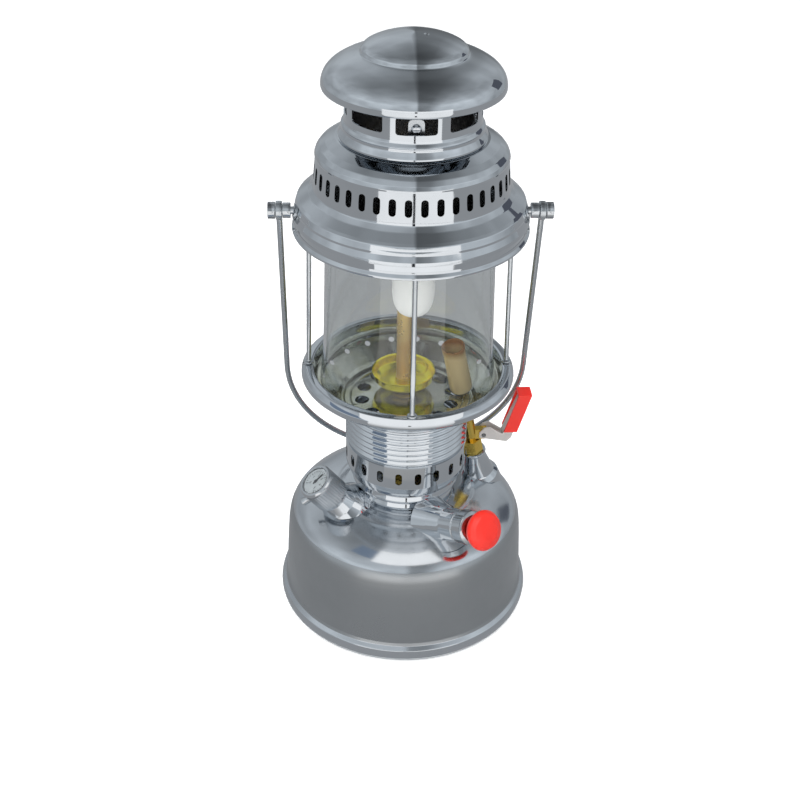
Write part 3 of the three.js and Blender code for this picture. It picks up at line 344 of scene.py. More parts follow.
def addNode(tree, kind, settings=None, links=None):
    node = tree.nodes.new(kind)
    for name, value in (settings or {}).items():
        if isinstance(name, int) or name in node.inputs:
            node.inputs[name].default_value = value
        else:
            setattr(node, name, value)
    for name, source in (links or {}).items():
        tree.links.new(source, node.inputs[name])
    return node


def newMaterial(name):
    material = bpy.data.materials.new(name)
    material.use_nodes = True
    material.node_tree.nodes.clear()
    return material, material.node_tree


# The end that the finishes share: a fine grain lifts the surface of the shader
def surfaced(tree, look, along, settings, links, fineness=None):
    grain = addNode(
        tree,
        "ShaderNodeTexNoise",
        {"Scale": 1000 / look["grainSize"], "Detail": 2.0, **(fineness or {})},
        {"Vector": along},
    )
    bump = addNode(
        tree,
        "ShaderNodeBump",
        {"Strength": look["bump"], "Distance": mm(look["grainDepth"])},
        {"Height": grain.outputs["Fac"]},
    )
    links = {**links, "Normal": bump.outputs["Normal"]}
    shader = addNode(tree, "ShaderNodeBsdfPrincipled", settings, links)
    addNode(tree, "ShaderNodeOutputMaterial", {}, {"Surface": shader.outputs["BSDF"]})


# Metal with a grain: its roughness wanders between two values
def metalFinish(name, look):
    material, tree = newMaterial(name)
    spot = addNode(tree, "ShaderNodeTexCoord").outputs["Object"]
    stretch = addNode(
        tree, "ShaderNodeMapping", {"Scale": look.get("stretch", (1, 1, 1))}, {"Vector": spot}
    )
    haze = addNode(
        tree,
        "ShaderNodeTexNoise",
        {"Scale": 1000 / look["hazeSize"], "Detail": 4.0, "Roughness": 0.6},
        {"Vector": spot},
    )
    clear, dull = look["roughness"]
    rough = addNode(
        tree,
        "ShaderNodeMapRange",
        {"From Min": 0.35, "From Max": 0.7, "To Min": clear, "To Max": dull},
        {"Value": haze.outputs["Fac"]},
    )
    # The second colour is a real stain on most metals, and a painted reflection of the brass on the dish
    stainAndReflection = addNode(
        tree,
        "ShaderNodeMapRange",
        {"From Min": 0.45, "From Max": 0.72, "To Min": 0.0, "To Max": look.get("stainAndReflectionShare", 0.5)},
        {"Value": haze.outputs["Fac"]},
    )
    tint = addNode(
        tree,
        "ShaderNodeMix",
        {"data_type": "RGBA", 6: hexColor(look["color"]), 7: hexColor(look["stainAndReflection"])},
        {0: stainAndReflection.outputs["Result"]},
    )
    surfaced(
        tree,
        look,
        stretch.outputs["Vector"],
        {"Metallic": look.get("metallic", 1.0)},
        {"Base Color": tint.outputs[2], "Roughness": rough.outputs["Result"]},
        {"Detail": 3.0, "Roughness": 0.55},
    )
    return material


# Chrome plate on pressed brass, buffed: a hard mirror, faintly hazed where hands touch it
polishedChrome = metalFinish(
    "chromePlateBuffed",
    {"color": "#cdd1d5", "stainAndReflection": "#bfc4c8", "roughness": (0.035, 0.085), "hazeSize": 35, "grainSize": 9,
     "grainDepth": 0.02, "bump": 0.12},
)
# The same plate on the tank's top, softer: it blurs what stands on it
domeChrome = metalFinish(
    "chromePlateSoft",
    {"color": "#cdd1d5", "stainAndReflection": "#bfc4c8", "roughness": (0.11, 0.19), "hazeSize": 40, "grainSize": 9,
     "grainDepth": 0.02, "bump": 0.12},
)
# Chrome on small turned pieces: the lathe's rings stay in it, so that it glints less sharply
turnedChrome = metalFinish(
    "chromePlateTurned",
    {"color": "#cbced1", "stainAndReflection": "#b9bdc0", "roughness": (0.09, 0.17), "hazeSize": 9, "grainSize": 1.2,
     "grainDepth": 0.02, "bump": 0.2},
)
# The tank's wall: chrome over a linished sheet, which greys and blurs what it mirrors
satinChrome = metalFinish(
    "chromePlateSatin",
    {"color": "#b2b5b7", "stainAndReflection": "#a6a9ab", "roughness": (0.27, 0.36), "hazeSize": 45, "grainSize": 1.4,
     "grainDepth": 0.012, "bump": 0.25, "stretch": (1, 1, 0.25)},
)
# Bright zinc on steel wire and strip: paler and flatter than chrome
zincSteel = metalFinish(
    "zincPlatedSteel",
    {"color": "#c6cacd", "stainAndReflection": "#b8bcbf", "roughness": (0.2, 0.3), "hazeSize": 12, "grainSize": 1.6,
     "grainDepth": 0.01, "bump": 0.12},
)
# Plain steel of the casing, the tank's floor and small rods, dulled by heat and use
dullSteel = metalFinish(
    "heatDulledSteel",
    {"color": "#8c8d8e", "stainAndReflection": "#6d655c", "roughness": (0.35, 0.55), "hazeSize": 14, "grainSize": 1.5,
     "grainDepth": 0.03, "bump": 0.4, "stainAndReflectionShare": 0.8},
)
# Turned brass, lacquered: yellow, bright, with soft lathe rings
turnedBrass = metalFinish(
    "brassTurned",
    {"color": "#ecca66", "stainAndReflection": "#d5aa48", "roughness": (0.14, 0.28), "hazeSize": 8, "grainSize": 1.0,
     "grainDepth": 0.02, "bump": 0.25},
)
# The spirit cup: thin spun brass, the brightest yellow of the burner
cupBrass = metalFinish(
    "brassSpunBright",
    {"color": "#faec2c", "stainAndReflection": "#f0d41e", "roughness": (0.12, 0.22), "hazeSize": 7, "grainSize": 1.6,
     "grainDepth": 0.02, "bump": 0.2, "metallic": 0.93},
)
# The vaporizer: brass that the flame has turned a pale orange
heatedBrass = metalFinish(
    "brassHeatTinted",
    {"color": "#f8d586", "stainAndReflection": "#ebb769", "roughness": (0.24, 0.4), "hazeSize": 22, "grainSize": 1.2,
     "grainDepth": 0.02, "bump": 0.2, "stainAndReflectionShare": 0.8, "metallic": 0.7},
)
# The dish mirrors the burner's brass: chrome with a faint painted olive reflection of that brass in its
# colour
dishChromePaintedReflection = metalFinish(
    "chromePlatePaintedBrassReflection",
    {"color": "#d6d8cc", "stainAndReflection": "#b9b893", "roughness": (0.07, 0.15), "hazeSize": 16, "grainSize": 5,
     "grainDepth": 0.02, "bump": 0.15, "stainAndReflectionShare": 0.8, "metallic": 0.88},
)
print("metals ready")


# Brass sheet round the flame: tan along its length, brown at the mouth
def flameTubeFinish(mouthLevel):
    look = {
        "tan": "#f0d8a2",
        "brown": "#a0703c",
        "fade": 7,
        "blotchSize": 6,
        "grainSize": 1.5,
        "grainDepth": 0.03,
        "bump": 0.3,
        "metallic": 0.35,
        "roughness": 0.42,
    }
    material, tree = newMaterial("brassFlameTube")
    spot = addNode(tree, "ShaderNodeTexCoord").outputs["Object"]
    height = addNode(tree, "ShaderNodeSeparateXYZ", {}, {"Vector": spot})
    scorch = addNode(
        tree,
        "ShaderNodeMapRange",
        {"From Min": mm(mouthLevel - look["fade"]), "From Max": mm(mouthLevel)},
        {"Value": height.outputs["Z"]},
    )
    blotch = addNode(
        tree, "ShaderNodeTexNoise", {"Scale": 1000 / look["blotchSize"], "Detail": 4.0}, {"Vector": spot}
    )
    uneven = addNode(
        tree,
        "ShaderNodeMath",
        {"operation": "MULTIPLY_ADD", 1: 0.5},
        {0: blotch.outputs["Fac"], 2: scorch.outputs["Result"]},
    )
    shade = addNode(
        tree, "ShaderNodeMapRange", {"From Min": 0.3, "From Max": 1.2}, {"Value": uneven.outputs["Value"]}
    )
    tint = addNode(
        tree,
        "ShaderNodeMix",
        {"data_type": "RGBA", 6: hexColor(look["tan"]), 7: hexColor(look["brown"])},
        {0: shade.outputs["Result"]},
    )
    settings = {"Metallic": look["metallic"], "Roughness": look["roughness"]}
    surfaced(tree, look, spot, settings, {"Base Color": tint.outputs[2]})
    return material


# Things that aren't metal: a base colour that varies a little and a grain
def plainFinish(name, look):
    material, tree = newMaterial(name)
    spot = addNode(tree, "ShaderNodeTexCoord").outputs["Object"]
    cloud = addNode(
        tree, "ShaderNodeTexNoise", {"Scale": 1000 / look["cloudSize"], "Detail": 3.0}, {"Vector": spot}
    )
    tint = addNode(
        tree,
        "ShaderNodeMix",
        {"data_type": "RGBA", 6: hexColor(look["color"]), 7: hexColor(look["shade"])},
        {0: cloud.outputs["Fac"]},
    )
    settings = {"Roughness": look["roughness"], "IOR": look["ior"], **look.get("extra", {})}
    surfaced(tree, look, spot, settings, {"Base Color": tint.outputs[2]})
    return material


# Moulded phenolic: a strong orange red under a soft gloss
redPlastic = plainFinish(
    "phenolicMouldedRed",
    {"color": "#f8301f", "shade": "#ee2418", "cloudSize": 12, "grainSize": 0.9, "grainDepth": 0.02,
     "bump": 0.15, "roughness": 0.36, "ior": 1.5},
)
# Burnt rayon net of the mantle: chalk white and matt, with a painted glow for the light through its far
# side
mantleClothPaintedGlow = plainFinish(
    "rayonMantleNetPaintedGlow",
    {"color": "#fbfaf6", "shade": "#f1f0ea", "cloudSize": 5, "grainSize": 0.7, "grainDepth": 0.12,
     "bump": 0.5, "roughness": 0.95, "ior": 1.45,
     # The emission is a painted glow that brings the net up to white
     "extra": {"Sheen Weight": 0.3, "Emission Color": (1, 1, 1, 1), "Emission Strength": 0.14}},
)
# Fired magnesia of the nozzle: pale buff, dry
ceramic = plainFinish(
    "ceramicFiredMagnesia",
    {"color": "#ddd4c2", "shade": "#cbbfa8", "cloudSize": 4, "grainSize": 0.6, "grainDepth": 0.05,
     "bump": 0.5, "roughness": 0.85, "ior": 1.6},
)
# Oiled hide of the pump cup: dark brown with a dull shine
leather = plainFinish(
    "leatherOiled",
    {"color": "#5a3a22", "shade": "#43291a", "cloudSize": 3, "grainSize": 0.5, "grainDepth": 0.08,
     "bump": 0.6, "roughness": 0.6, "ior": 1.5},
)
# Nitrile of the gasket: black and matt
rubber = plainFinish(
    "nitrileRubber",
    {"color": "#1c1c1c", "shade": "#141414", "cloudSize": 3, "grainSize": 0.6, "grainDepth": 0.03,
     "bump": 0.4, "roughness": 0.75, "ior": 1.52},
)
# Anodised dial under the lens: silver grey
dialCard = plainFinish(
    "aluminiumDial",
    {"color": "#e6eaec", "shade": "#d6dbde", "cloudSize": 4, "grainSize": 0.5, "grainDepth": 0.01,
     "bump": 0.2, "roughness": 0.45, "ior": 1.45},
)
# Bare aluminium strip of the preheater's lever: pale, warm and flat
paleStrip = plainFinish(
    "aluminiumStripBare",
    {"color": "#d8d3cf", "shade": "#c9c4c0", "cloudSize": 9, "grainSize": 0.8, "grainDepth": 0.01,
     "bump": 0.2, "roughness": 0.4, "ior": 1.45, "extra": {"Metallic": 0.3}},
)
# Printing ink of the scale and the needle's paint
dialInk = plainFinish(
    "enamelInkBlack",
    {"color": "#3a3d40", "shade": "#2e3133", "cloudSize": 2, "grainSize": 0.4, "grainDepth": 0.01,
     "bump": 0.1, "roughness": 0.5, "ior": 1.5},
)


# Drawn borosilicate: clear, with faint streaks along its length where the draw left them
def glassFinish():
    look = {"ior": 1.47, "grainSize": 7, "grainDepth": 0.01, "bump": 0.05, "tint": "#f4f6f6"}
    material, tree = newMaterial("borosilicateGlass")
    spot = addNode(tree, "ShaderNodeTexCoord").outputs["Object"]
    drawnOut = addNode(tree, "ShaderNodeMapping", {"Scale": (1, 1, 0.06)}, {"Vector": spot})
    settings = {"Base Color": hexColor(look["tint"]), "Transmission Weight": 1.0, "Roughness": 0.0}
    surfaced(tree, look, drawnOut.outputs["Vector"], {**settings, "IOR": look["ior"]}, {})
    return material


clearGlass = glassFinish()
print("materials ready")

# Places that several pieces share: the column and the mantle from above, two levels, and
# the fittings that lean, with azimuth 0 at the front and elevation from level
places = {"column": (-2, 10), "mantle": (2, -9), "spindleLevel": 118.8, "bailPivot": 285.061}
pumpAxis = {"knob": (46.149, -69.470, 98.998), "azimuth": 42, "elevation": 22}
fillerAxis = {"face": (-59.812, -27.891, 107.993), "azimuth": -65, "elevation": 53}
releaseAxis = {"level": -12, "turn": 250}
preheaterAxis = {"foot": (51, 17, 82.52), "mouth": (28.0, -3.0, 193.96)}
feedHole = 6.2  # radius of the preheater's way through the collar and the dish


# The pump's own axis: its origin is the knob's middle and +Z points out
def pumpFrame():
    return leaning(pumpAxis["knob"], pumpAxis["azimuth"], pumpAxis["elevation"])


# The filler's axis: its origin is the middle of the cap's face
def fillerFrame():
    return leaning(fillerAxis["face"], fillerAxis["azimuth"], fillerAxis["elevation"])


# The preheater's axis, from the tank up to the mantle's side
def preheaterFrame():
    run = Vector(preheaterAxis["mouth"]) - Vector(preheaterAxis["foot"])
    azimuth = math.degrees(math.atan2(run.x, -run.y))
    elevation = math.degrees(math.asin(run.z / run.length))
    return leaning(preheaterAxis["foot"], azimuth, elevation)


# Tank: pressed shell with a rolled foot, satin wall, buffed top, open inside the pump's barrel
def makeTank():
    tank = {
        "foot": [(78.7, 0.7, 0.5), (79.0, 0, 0.5), (80.8, 0, 1.0), (83.2, 1.6, 3.0), (84.8, 4.6, 3.0),
                 (85, 7.4, 3.0), (84.2, 10.6, 2.0), (82.0, 12.6, 1.2), (81.1, 14.8, 2.0)],
        "wall": [(80.2, 30), (79.1, 50)],
        "shoulder": [(78.5, 58), (77.5, 64.2), (75.3, 69.2), (71.5, 73.3), (66, 76.8), (59, 79.8),
                     (51, 82.1), (46.4, 83.2)],
        "top": [(46.2, 83.3), (44.6, 84.1, 0.8), (40, 84.74, 3), (20, 86.1, 20), (0, 86.5)],
        "satinFoot": 13.2,
        "satinTop": 69.2,
        "boreRadius": 6.2,
        "boreRun": (-75, -22),
    }
    outline = rounded(tank["foot"] + tank["wall"], 7)
    outline += flowing(tank["shoulder"], 5) + rounded(tank["top"], 7)
    shell = turned("tankShell", pressed(outline), steps=192)
    cutAway(shell, place(rod("pumpBore", tank["boreRadius"], *tank["boreRun"]), pumpFrame()))
    finished(shell, "lantern", domeChrome, "satin_chrome", "tank_shell")
    shell.data.materials.append(satinChrome)
    for face in shell.data.polygons:
        outer = face.normal.xy.dot(face.center.xy) > 0
        if outer and tank["satinFoot"] < face.center.z * 1000 < tank["satinTop"]:
            face.material_index = 1


# The tank's floor, a disc pressed upwards
def makeTankFloor():
    level, rise = lowest("tank_bottom"), highest("tank_bottom")
    disc = [(79.2, 1.2, 1.5), (76, 0, 3), (60, 1.4, 20), (30, 4.2, 20), (0, 5)]
    line = rounded([(disc[0][0], rise)] + raised(disc, level), 5)
    floor = turned("tankFloor", pressed(line[::-1])[::-1], steps=128, angle=40)
    finished(floor, "lantern", dullSteel, "steel", "tank_bottom")


# The solid inside the tank's outline, which trims what stands on it
def tankCore():
    outline = [(0, 20), (79, 20), (78.1, 58), (77.1, 64), (74.9, 68.9), (71.2, 72.9), (65.8, 76.4),
               (58.9, 79.4), (51, 81.7), (46, 82.9), (39.9, 84.4), (0, 86.2)]
    return turned("tankCore", outline, steps=96)


# A chromed seat whose foot is trimmed to the tank's top
def makeSeat(name, profile, steps, axis, node):
    seat = place(turned(name, rounded(closed(profile), 5), steps=steps), axis)
    cutAway(seat, tankCore())
    finished(seat, "lantern", polishedChrome, "chrome", node)


makeTank()
makeTankFloor()
print("tank made")


# Neck collar: beads, a ring of oval air holes and seven ribs
def makeCollar():
    foot = lowest("neck_collar")
    collar = {
        "beads": [(30.7, 0), (32.9, 1.5, 1.4), (32.9, 3.0, 1.0), (31.6, 6.0, 1.0), (35.2, 8.4, 1.2),
                  (35.2, 9.9, 1.2), (33.9, 13.2, 1.5), (37.6, 16.4, 1.6), (38.3, 18.4, 1.6),
                  (39.6, 23.0, 2.0), (39.6, 39.2)],
        "radius": 39.6,
        "ribs": 7,
        "ribsFoot": 39.6,
        "ribPitch": 4,
        "ribSteps": 10,
        "grooveDepth": 1.44,
        "firstGroove": 1.4,
        "lip": (39.0, 68.7),
        "holes": 20,
        "holeWidth": 4.4,
        "holeHeight": 8.6,
        "holeLevel": 30.7,
        "holeReach": (34, 44),
        "spindleHole": 2.4,
        "spindleRun": (30, 46),
        "feedRun": (10, 70),
    }
    line = rounded(collar["beads"], 5) + [(collar["radius"] - collar["firstGroove"], collar["ribsFoot"])]
    for k in range(1, collar["ribs"] * collar["ribSteps"] + 1):
        turns = k / collar["ribSteps"]
        crest = (0.5 - 0.5 * math.cos(math.tau * turns)) ** 0.75  # round crests, narrow grooves
        radius = collar["radius"] - collar["grooveDepth"] * (1 - crest)
        line.append((radius, collar["ribsFoot"] + collar["ribPitch"] * turns))
    line.append(collar["lip"])
    piece = turned("neckCollar", pressed(raised(line, foot)), steps=160)
    air = slotCutter(
        collar["holeWidth"],
        collar["holeHeight"],
        *collar["holeReach"],
        foot + collar["holeLevel"],
        180 / collar["holes"],
    )
    ringOfCopies(air, collar["holes"])
    spindle = rod("spindleHole", collar["spindleHole"], *collar["spindleRun"])
    place(spindle, shifted(places["column"][0], 0, places["spindleLevel"]) @ rotated(-90, "X"))
    feed = place(rod("feedHole", feedHole, *collar["feedRun"]), preheaterFrame())
    cutAway(piece, air, spindle, feed)
    finished(piece, "lantern", polishedChrome, "chrome", "neck_collar")


# Dish: perforated floor, flare with air holes, rolled shoulder and the glass's seat
def makeDish():
    floor = lowest("dish")
    dish = {
        "line": [(0, 0), (30, 0, 5), (36, 0, 0.8), (37, 0.9, 0.8), (40, 0.9, 0.8), (41, 0, 0.8),
                 (42.6, 0, 1.5), (44.9, 2.4, 3), (54, 9.2, 30), (64.1, 16.0, 5), (67.5, 19.4, 3.2),
                 (67.3, 22.6, 3), (64.6, 25.5, 2.2), (61.2, 25.6, 1.0), (59.9, 25.3, 1.2),
                 (58.6, 18.6, 1.2), (57.5, 17.2, 1.0), (53.6, 17.2)],
        "floorHoles": 12,
        "floorHoleRadius": 4.6,
        "floorRing": 29.3,
        "airHoles": 20,
        "airHoleRadius": 2,
        "airRing": 55.6,
        "airLevel": 10.2,
        "airTilt": -35.3,
        "holeTurn": 9,
        "columnHole": 9.4,
        "feedRun": (50, 100),
        "cutDepth": 4,
        "brassReflectionReach": 58.8,
        "brassReflectionSlope": 0.15,
    }
    piece = turned("dishBowl", pressed(rounded(raised(dish["line"], floor), 6)), steps=176)
    cut = dish["cutDepth"]  # the cutters pass through the sheet
    low, high = floor - cut, floor + cut + 1
    turn = rotated(dish["holeTurn"], "Z")
    holes = rod("dishHoles", dish["floorHoleRadius"], low, high, 28)
    ringOfCopies(place(holes, turn @ shifted(0, -dish["floorRing"])), dish["floorHoles"])
    column = place(rod("columnHole", dish["columnHole"], low, high), shifted(*places["column"]))
    feed = place(rod("feedHole", feedHole, *dish["feedRun"]), preheaterFrame())
    air = rod("airHoles", dish["airHoleRadius"], -cut, cut, 16)
    flare = shifted(0, -dish["airRing"], floor + dish["airLevel"]) @ rotated(dish["airTilt"], "X")
    ringOfCopies(place(air, turn @ flare), dish["airHoles"])
    cutAway(piece, holes, column, feed, air)
    finished(piece, "lantern", polishedChrome, "chrome", "dish")
    # The upward faces inside the dish take the chrome with the painted reflection of the brass
    piece.data.materials.append(dishChromePaintedReflection)
    for face in piece.data.polygons:
        center = face.center * 1000
        if center.xy.length < dish["brassReflectionReach"] and face.normal.z > dish["brassReflectionSlope"]:
            face.material_index = 1


makeCollar()
makeDish()
print("collar and dish made")


# Rods between the dish and the hood, each leaning in a little
def makeRods():
    rods = {
        "radius": 1.5,
        "flange": 3.1,
        "flangeHeight": 1.2,
        "footReach": 62.6,
        "headReach": 60.4,
        "gap": 0.02,
    }
    foot = lowest("rod_front") + rods["gap"]
    length = highest("rod_front") - lowest("rod_front") - 2 * rods["gap"]
    profile = rounded(
        [(0, 0), (rods["flange"], 0, 0.3), (rods["flange"], rods["flangeHeight"], 0.6),
         (rods["radius"], rods["flangeHeight"] + 0.5, 0.8), (rods["radius"], length, 0.3), (0, length)],
        4,
    )
    lean = math.degrees(math.atan((rods["footReach"] - rods["headReach"]) / length))
    for turn, side in enumerate(("front", "right", "rear", "left")):
        piece = turned("wireRod" + side.capitalize(), profile, steps=24)
        place(piece, rotated(90 * turn, "Z") @ shifted(0, -rods["footReach"], foot) @ rotated(-lean, "X"))
        finished(piece, "lantern", zincSteel, "chrome", "rod_" + side)


# Glass chimney with fire-polished ends
def makeGlass():
    foot, top = lowest("glass_chimney"), highest("glass_chimney")
    chimney = {
        "side": [(55.5, 0.7), (54.6, 9), (53.3, 24), (52.2, 60)],
        "mouth": [(51.1, -0.7)],
        "footEdge": 54.8,
        "mouthEdge": 50.2,
        "wall": 1.6,
    }
    outer = flowing(raised(chimney["side"], foot) + raised(chimney["mouth"], top), 10)
    inner = [(radius - chimney["wall"], height) for radius, height in outer]
    line = [(chimney["footEdge"], foot), *outer, (chimney["mouthEdge"], top), *inner[::-1]]
    piece = turned("glassChimney", closed(line), steps=160, angle=60)
    finished(piece, "lantern", clearGlass, "glass", "glass_chimney")
    piece.visible_shadow = False  # the lamps shine through it


makeRods()
makeGlass()
print("rods and glass made")


# Hood skirt: rolled edge, band with air slots, domed crown
def makeHood():
    foot = lowest("hood_skirt")
    hood = {
        "skirt": [(68.75, 0.1), (70.2, 0.0, 0.9), (70.6, 1.6, 0.9), (69.2, 3.3, 0.6), (69.0, 4.6, 1.0),
                  (70.1, 8.6, 0.8), (69.7, 10.6, 1.5), (68.4, 14.2, 1.0), (68.5, 15.4, 0.7),
                  (68.1, 16.6, 0.7), (67.4, 19.0, 1.5), (65.7, 20.4, 1.5), (60.5, 24.1, 4.5),
                  (57.9, 27.0, 1.4), (57.6, 28.8, 0.5)],
        "crown": [(56.1, 45.7, 0.5), (56.5, 46.8, 0.7), (55.7, 49.2, 1.6), (53.6, 51.9, 3),
                  (50.2, 54.2, 5), (46.0, 56.4, 3), (44.4, 57.3, 0.6), (43.0, 57.4, 0.5), (42.0, 57.85)],
        "slots": 40,
        "slotWidth": 4.3,
        "slotHeight": 10,
        "slotLevel": 37.0,
        "slotReach": (50, 64),
        "studHole": 2.6,
        "studReach": 75,
    }
    line = rounded(raised(hood["skirt"] + hood["crown"], foot), 6)
    piece = turned("hoodSkirt", pressed(line), steps=200)
    air = slotCutter(
        hood["slotWidth"],
        hood["slotHeight"],
        *hood["slotReach"],
        foot + hood["slotLevel"],
        180 / hood["slots"],
        16,
    )
    ringOfCopies(air, hood["slots"])
    studs = rod("studHoles", hood["studHole"], -hood["studReach"], hood["studReach"])
    place(studs, shifted(0, 0, places["bailPivot"]) @ rotated(90, "Y"))
    cutAway(piece, air, studs)
    finished(piece, "lantern", polishedChrome, "chrome", "hood_skirt")


# Hood collar: two beads and eight windows with rounded lower corners
def makeHoodCollar():
    foot, top = lowest("hood_collar"), highest("hood_collar")
    collar = {
        "beads": [(42.2, 0.2), (43.0, 0.1, 0.4), (43.0, 1.3, 0.5), (42.2, 2.6, 0.8), (41.1, 4.6, 1.5),
                  (40.9, 6.2, 0.5), (41.2, 6.9, 0.4), (40.7, 7.7, 0.5), (39.7, 8.9, 0.8),
                  (39.4, 10.4, 1.0)],
        "radius": 39.4,
        "windows": 8,
        "windowArc": 34,
        "windowFoot": 13.7,
        "windowTop": 23.7,
        "windowCorner": 1.6,
        "windowDepth": 12,
    }
    line = rounded(raised(collar["beads"], foot) + [(collar["radius"], top)], 4)
    piece = turned("hoodCollar", pressed(line), steps=192)
    half = collar["radius"] * math.sin(math.radians(collar["windowArc"] / 2))
    low, high = foot + collar["windowFoot"], foot + collar["windowTop"]
    outline = [(-half, low), (half, low), (half, high), (-half, high)]
    window = plate("windowCut", outline, collar["windowDepth"])
    bevelEdges(window, collar["windowCorner"], 4)
    ringOfCopies(place(window, shifted(0, -collar["radius"])), collar["windows"])
    cutAway(piece, window)
    finished(piece, "lantern", polishedChrome, "chrome", "hood_collar")


# Domed cap with a raised disc and its rivet
def makeCap():
    lip, top = lowest("hood_cap"), highest("hood_cap")
    cap = {
        "edge": [(50.9, 0.5), (51.5, 0.05), (52.1, 0.5), (52.35, 1.3)],
        "brim": [(52.4, 2.1), (52.0, 5.0), (50.3, 8.8), (46.4, 12.7), (39.5, 16.5), (31.0, 19.3)],
        "step": [(30.4, -11.4), (30.1, -10.8)],
        "disc": [(30.0, -9.7), (29.4, -8.6), (27.0, -6.6), (21, -3.9), (12, -1.4), (0, -0.02)],
        "rivet": [(0, 1.1), (1.2, 0.9), (1.9, 0.1), (1.9, -0.8)],
        "rivetSpot": (6, -3),
        "rivetSink": 1.25,
    }
    line = raised(cap["edge"], lip) + flowing(raised(cap["brim"], lip), 7)
    line += raised(cap["step"], top) + flowing(raised(cap["disc"], top), 7)
    piece = turned("hoodCap", pressed(line), steps=192, angle=60)
    finished(piece, "lantern", polishedChrome, "chrome", "hood_cap")
    rivet = turned("capRivet", flowing(cap["rivet"], 5)[::-1] + cap["rivet"][:1], steps=24)
    place(rivet, shifted(*cap["rivetSpot"], top - cap["rivetSink"]))
    finished(rivet, "lantern", turnedChrome, "chrome")


# Inner casing: a flange on the ring, a tube up to the cap and a tab for the screw
def makeCasing():
    foot = lowest("inner_casing")
    casing = {
        "flange": [(61.4, 0), (61.4, 0.8), (36.2, 0.8, 0.8), (35.2, 2, 1)],
        "radius": 35.2,
        "bore": 34.4,
        "wallTop": 342.95,
        "tabWidth": 9,
        "tabThickness": 0.8,
        "tabReach": 34.8,
        "tabFoot": 340,
        "tabTop": 354.3,
        "tabCorner": 3,
        "screw": [(0, 0), (3, 0), (3, 0.9, 0.5), (2, 1.75, 1.2), (0, 1.9)],
        "screwReach": 35.1,
        "screwLevel": 348.7,
        "slotRadius": 0.45,
        "slotReach": 4,
    }
    line = rounded(raised(casing["flange"], foot) + [(casing["radius"], casing["wallTop"])], 4)
    line += [(casing["bore"], casing["wallTop"]), (casing["bore"], foot), line[0]]
    piece = turned("innerCasing", line, steps=128)
    finished(piece, "lantern", dullSteel, "steel", "inner_casing")
    half, low, high = casing["tabWidth"] / 2, casing["tabFoot"], casing["tabTop"]
    corner = casing["tabCorner"]
    outline = [(-half, low), (half, low), (half, high, corner), (-half, high, corner),
               (-half, low + 0.01)]
    tab = plate("casingTab", rounded(outline, 5), casing["tabThickness"])
    place(tab, shifted(0, -casing["tabReach"]))
    finished(tab, "lantern", zincSteel, "steel")
    screw = turned("casingScrewHead", rounded(casing["screw"], 5), steps=32)
    slot = rod("screwSlot", casing["slotRadius"], -casing["slotReach"], casing["slotReach"], 4)
    cutAway(screw, place(slot, shifted(0, 0, casing["screw"][-1][1]) @ rotated(90, "Y")))
    place(screw, shifted(0, -casing["screwReach"], casing["screwLevel"]) @ rotated(90, "X"))
    finished(screw, "lantern", turnedChrome, "steel", "casing_screw")


# Ring that the casing and the studs stand in
def makeTopRing():
    foot, top = lowest("top_ring"), highest("top_ring")
    ring = {"inner": 57, "outer": 66.8, "bend": 1.2}
    line = rounded([(ring["inner"], foot), (ring["outer"], foot, ring["bend"]), (ring["outer"], top)], 5)
    piece = turned("topRing", pressed(line), steps=128, angle=50)
    finished(piece, "lantern", zincSteel, "steel", "top_ring")


makeHood()
makeHoodCollar()
makeCap()
makeCasing()
makeTopRing()
print("hood made")


# Burner column on its own axis: the vaporizer tube and the nut at its foot
def makeColumn():
    foot, top = lowest("vaporizer_tube"), highest("vaporizer_tube")
    column = {
        "lower": [(2.2, 9), (4.8, 9), (4.8, 60)],
        "upper": [(4.8, -22), (4.3, -20.5, 0.8), (4.3, 0, 0.4), (2.2, 0)],
        "nut": 8,
        "nutHeight": 9.5,
        "nutBevel": 0.7,
    }
    line = raised(column["lower"], foot) + raised(column["upper"], top)
    tube = turned("vaporizerTube", rounded(closed(line), 3), steps=40)
    place(tube, shifted(*places["column"]))
    finished(tube, "lantern", heatedBrass, "brass", "vaporizer_tube")
    nut = rod("vaporizerNut", column["nut"], foot, foot + column["nutHeight"], 6)
    bevelEdges(nut, column["nutBevel"], 3)
    place(nut, shifted(*places["column"]))
    finished(nut, "lantern", turnedBrass, "brass")


# Spirit cup round the column, with its wire loop
def makeSpiritCup():
    foot, top = lowest("spirit_cup"), highest("spirit_cup")
    cup = {
        "bowl": [(5.1, 4.2), (5.1, 0, 0.6), (9, 0, 1.5), (15.5, 0.3, 3), (19.2, 3.4, 2.2)],
        "rim": [(20.0, -0.8, 0.6), (20.6, -0.1)],
        "wall": 0.7,
        "loopRadius": 4.6,
        "loopWire": 0.7,
        "loopSpot": (10.5, -3),
        "loopRise": 3.2,
    }
    axis = shifted(*places["column"])
    line = rounded(raised(cup["bowl"], foot) + raised(cup["rim"], top), 5)
    bowl = turned("spiritCup", pressed(line, cup["wall"]), steps=72, angle=50)
    place(bowl, axis)
    finished(bowl, "lantern", cupBrass, "brass", "spirit_cup")
    clearSelection()
    bpy.ops.mesh.primitive_torus_add(
        major_radius=mm(cup["loopRadius"]),
        minor_radius=mm(cup["loopWire"]),
        major_segments=36,
        minor_segments=10,
        rotation=(math.pi / 2, 0, 0),
    )
    loop = bpy.context.object
    loop.name = loop.data.name = "cupWireLoop"
    bpy.ops.object.transform_apply(location=True, rotation=True, scale=True)
    smooth(loop, 60)
    place(loop, axis @ shifted(*cup["loopSpot"], top + cup["loopRise"]))
    finished(loop, "lantern", cupBrass, "brass")


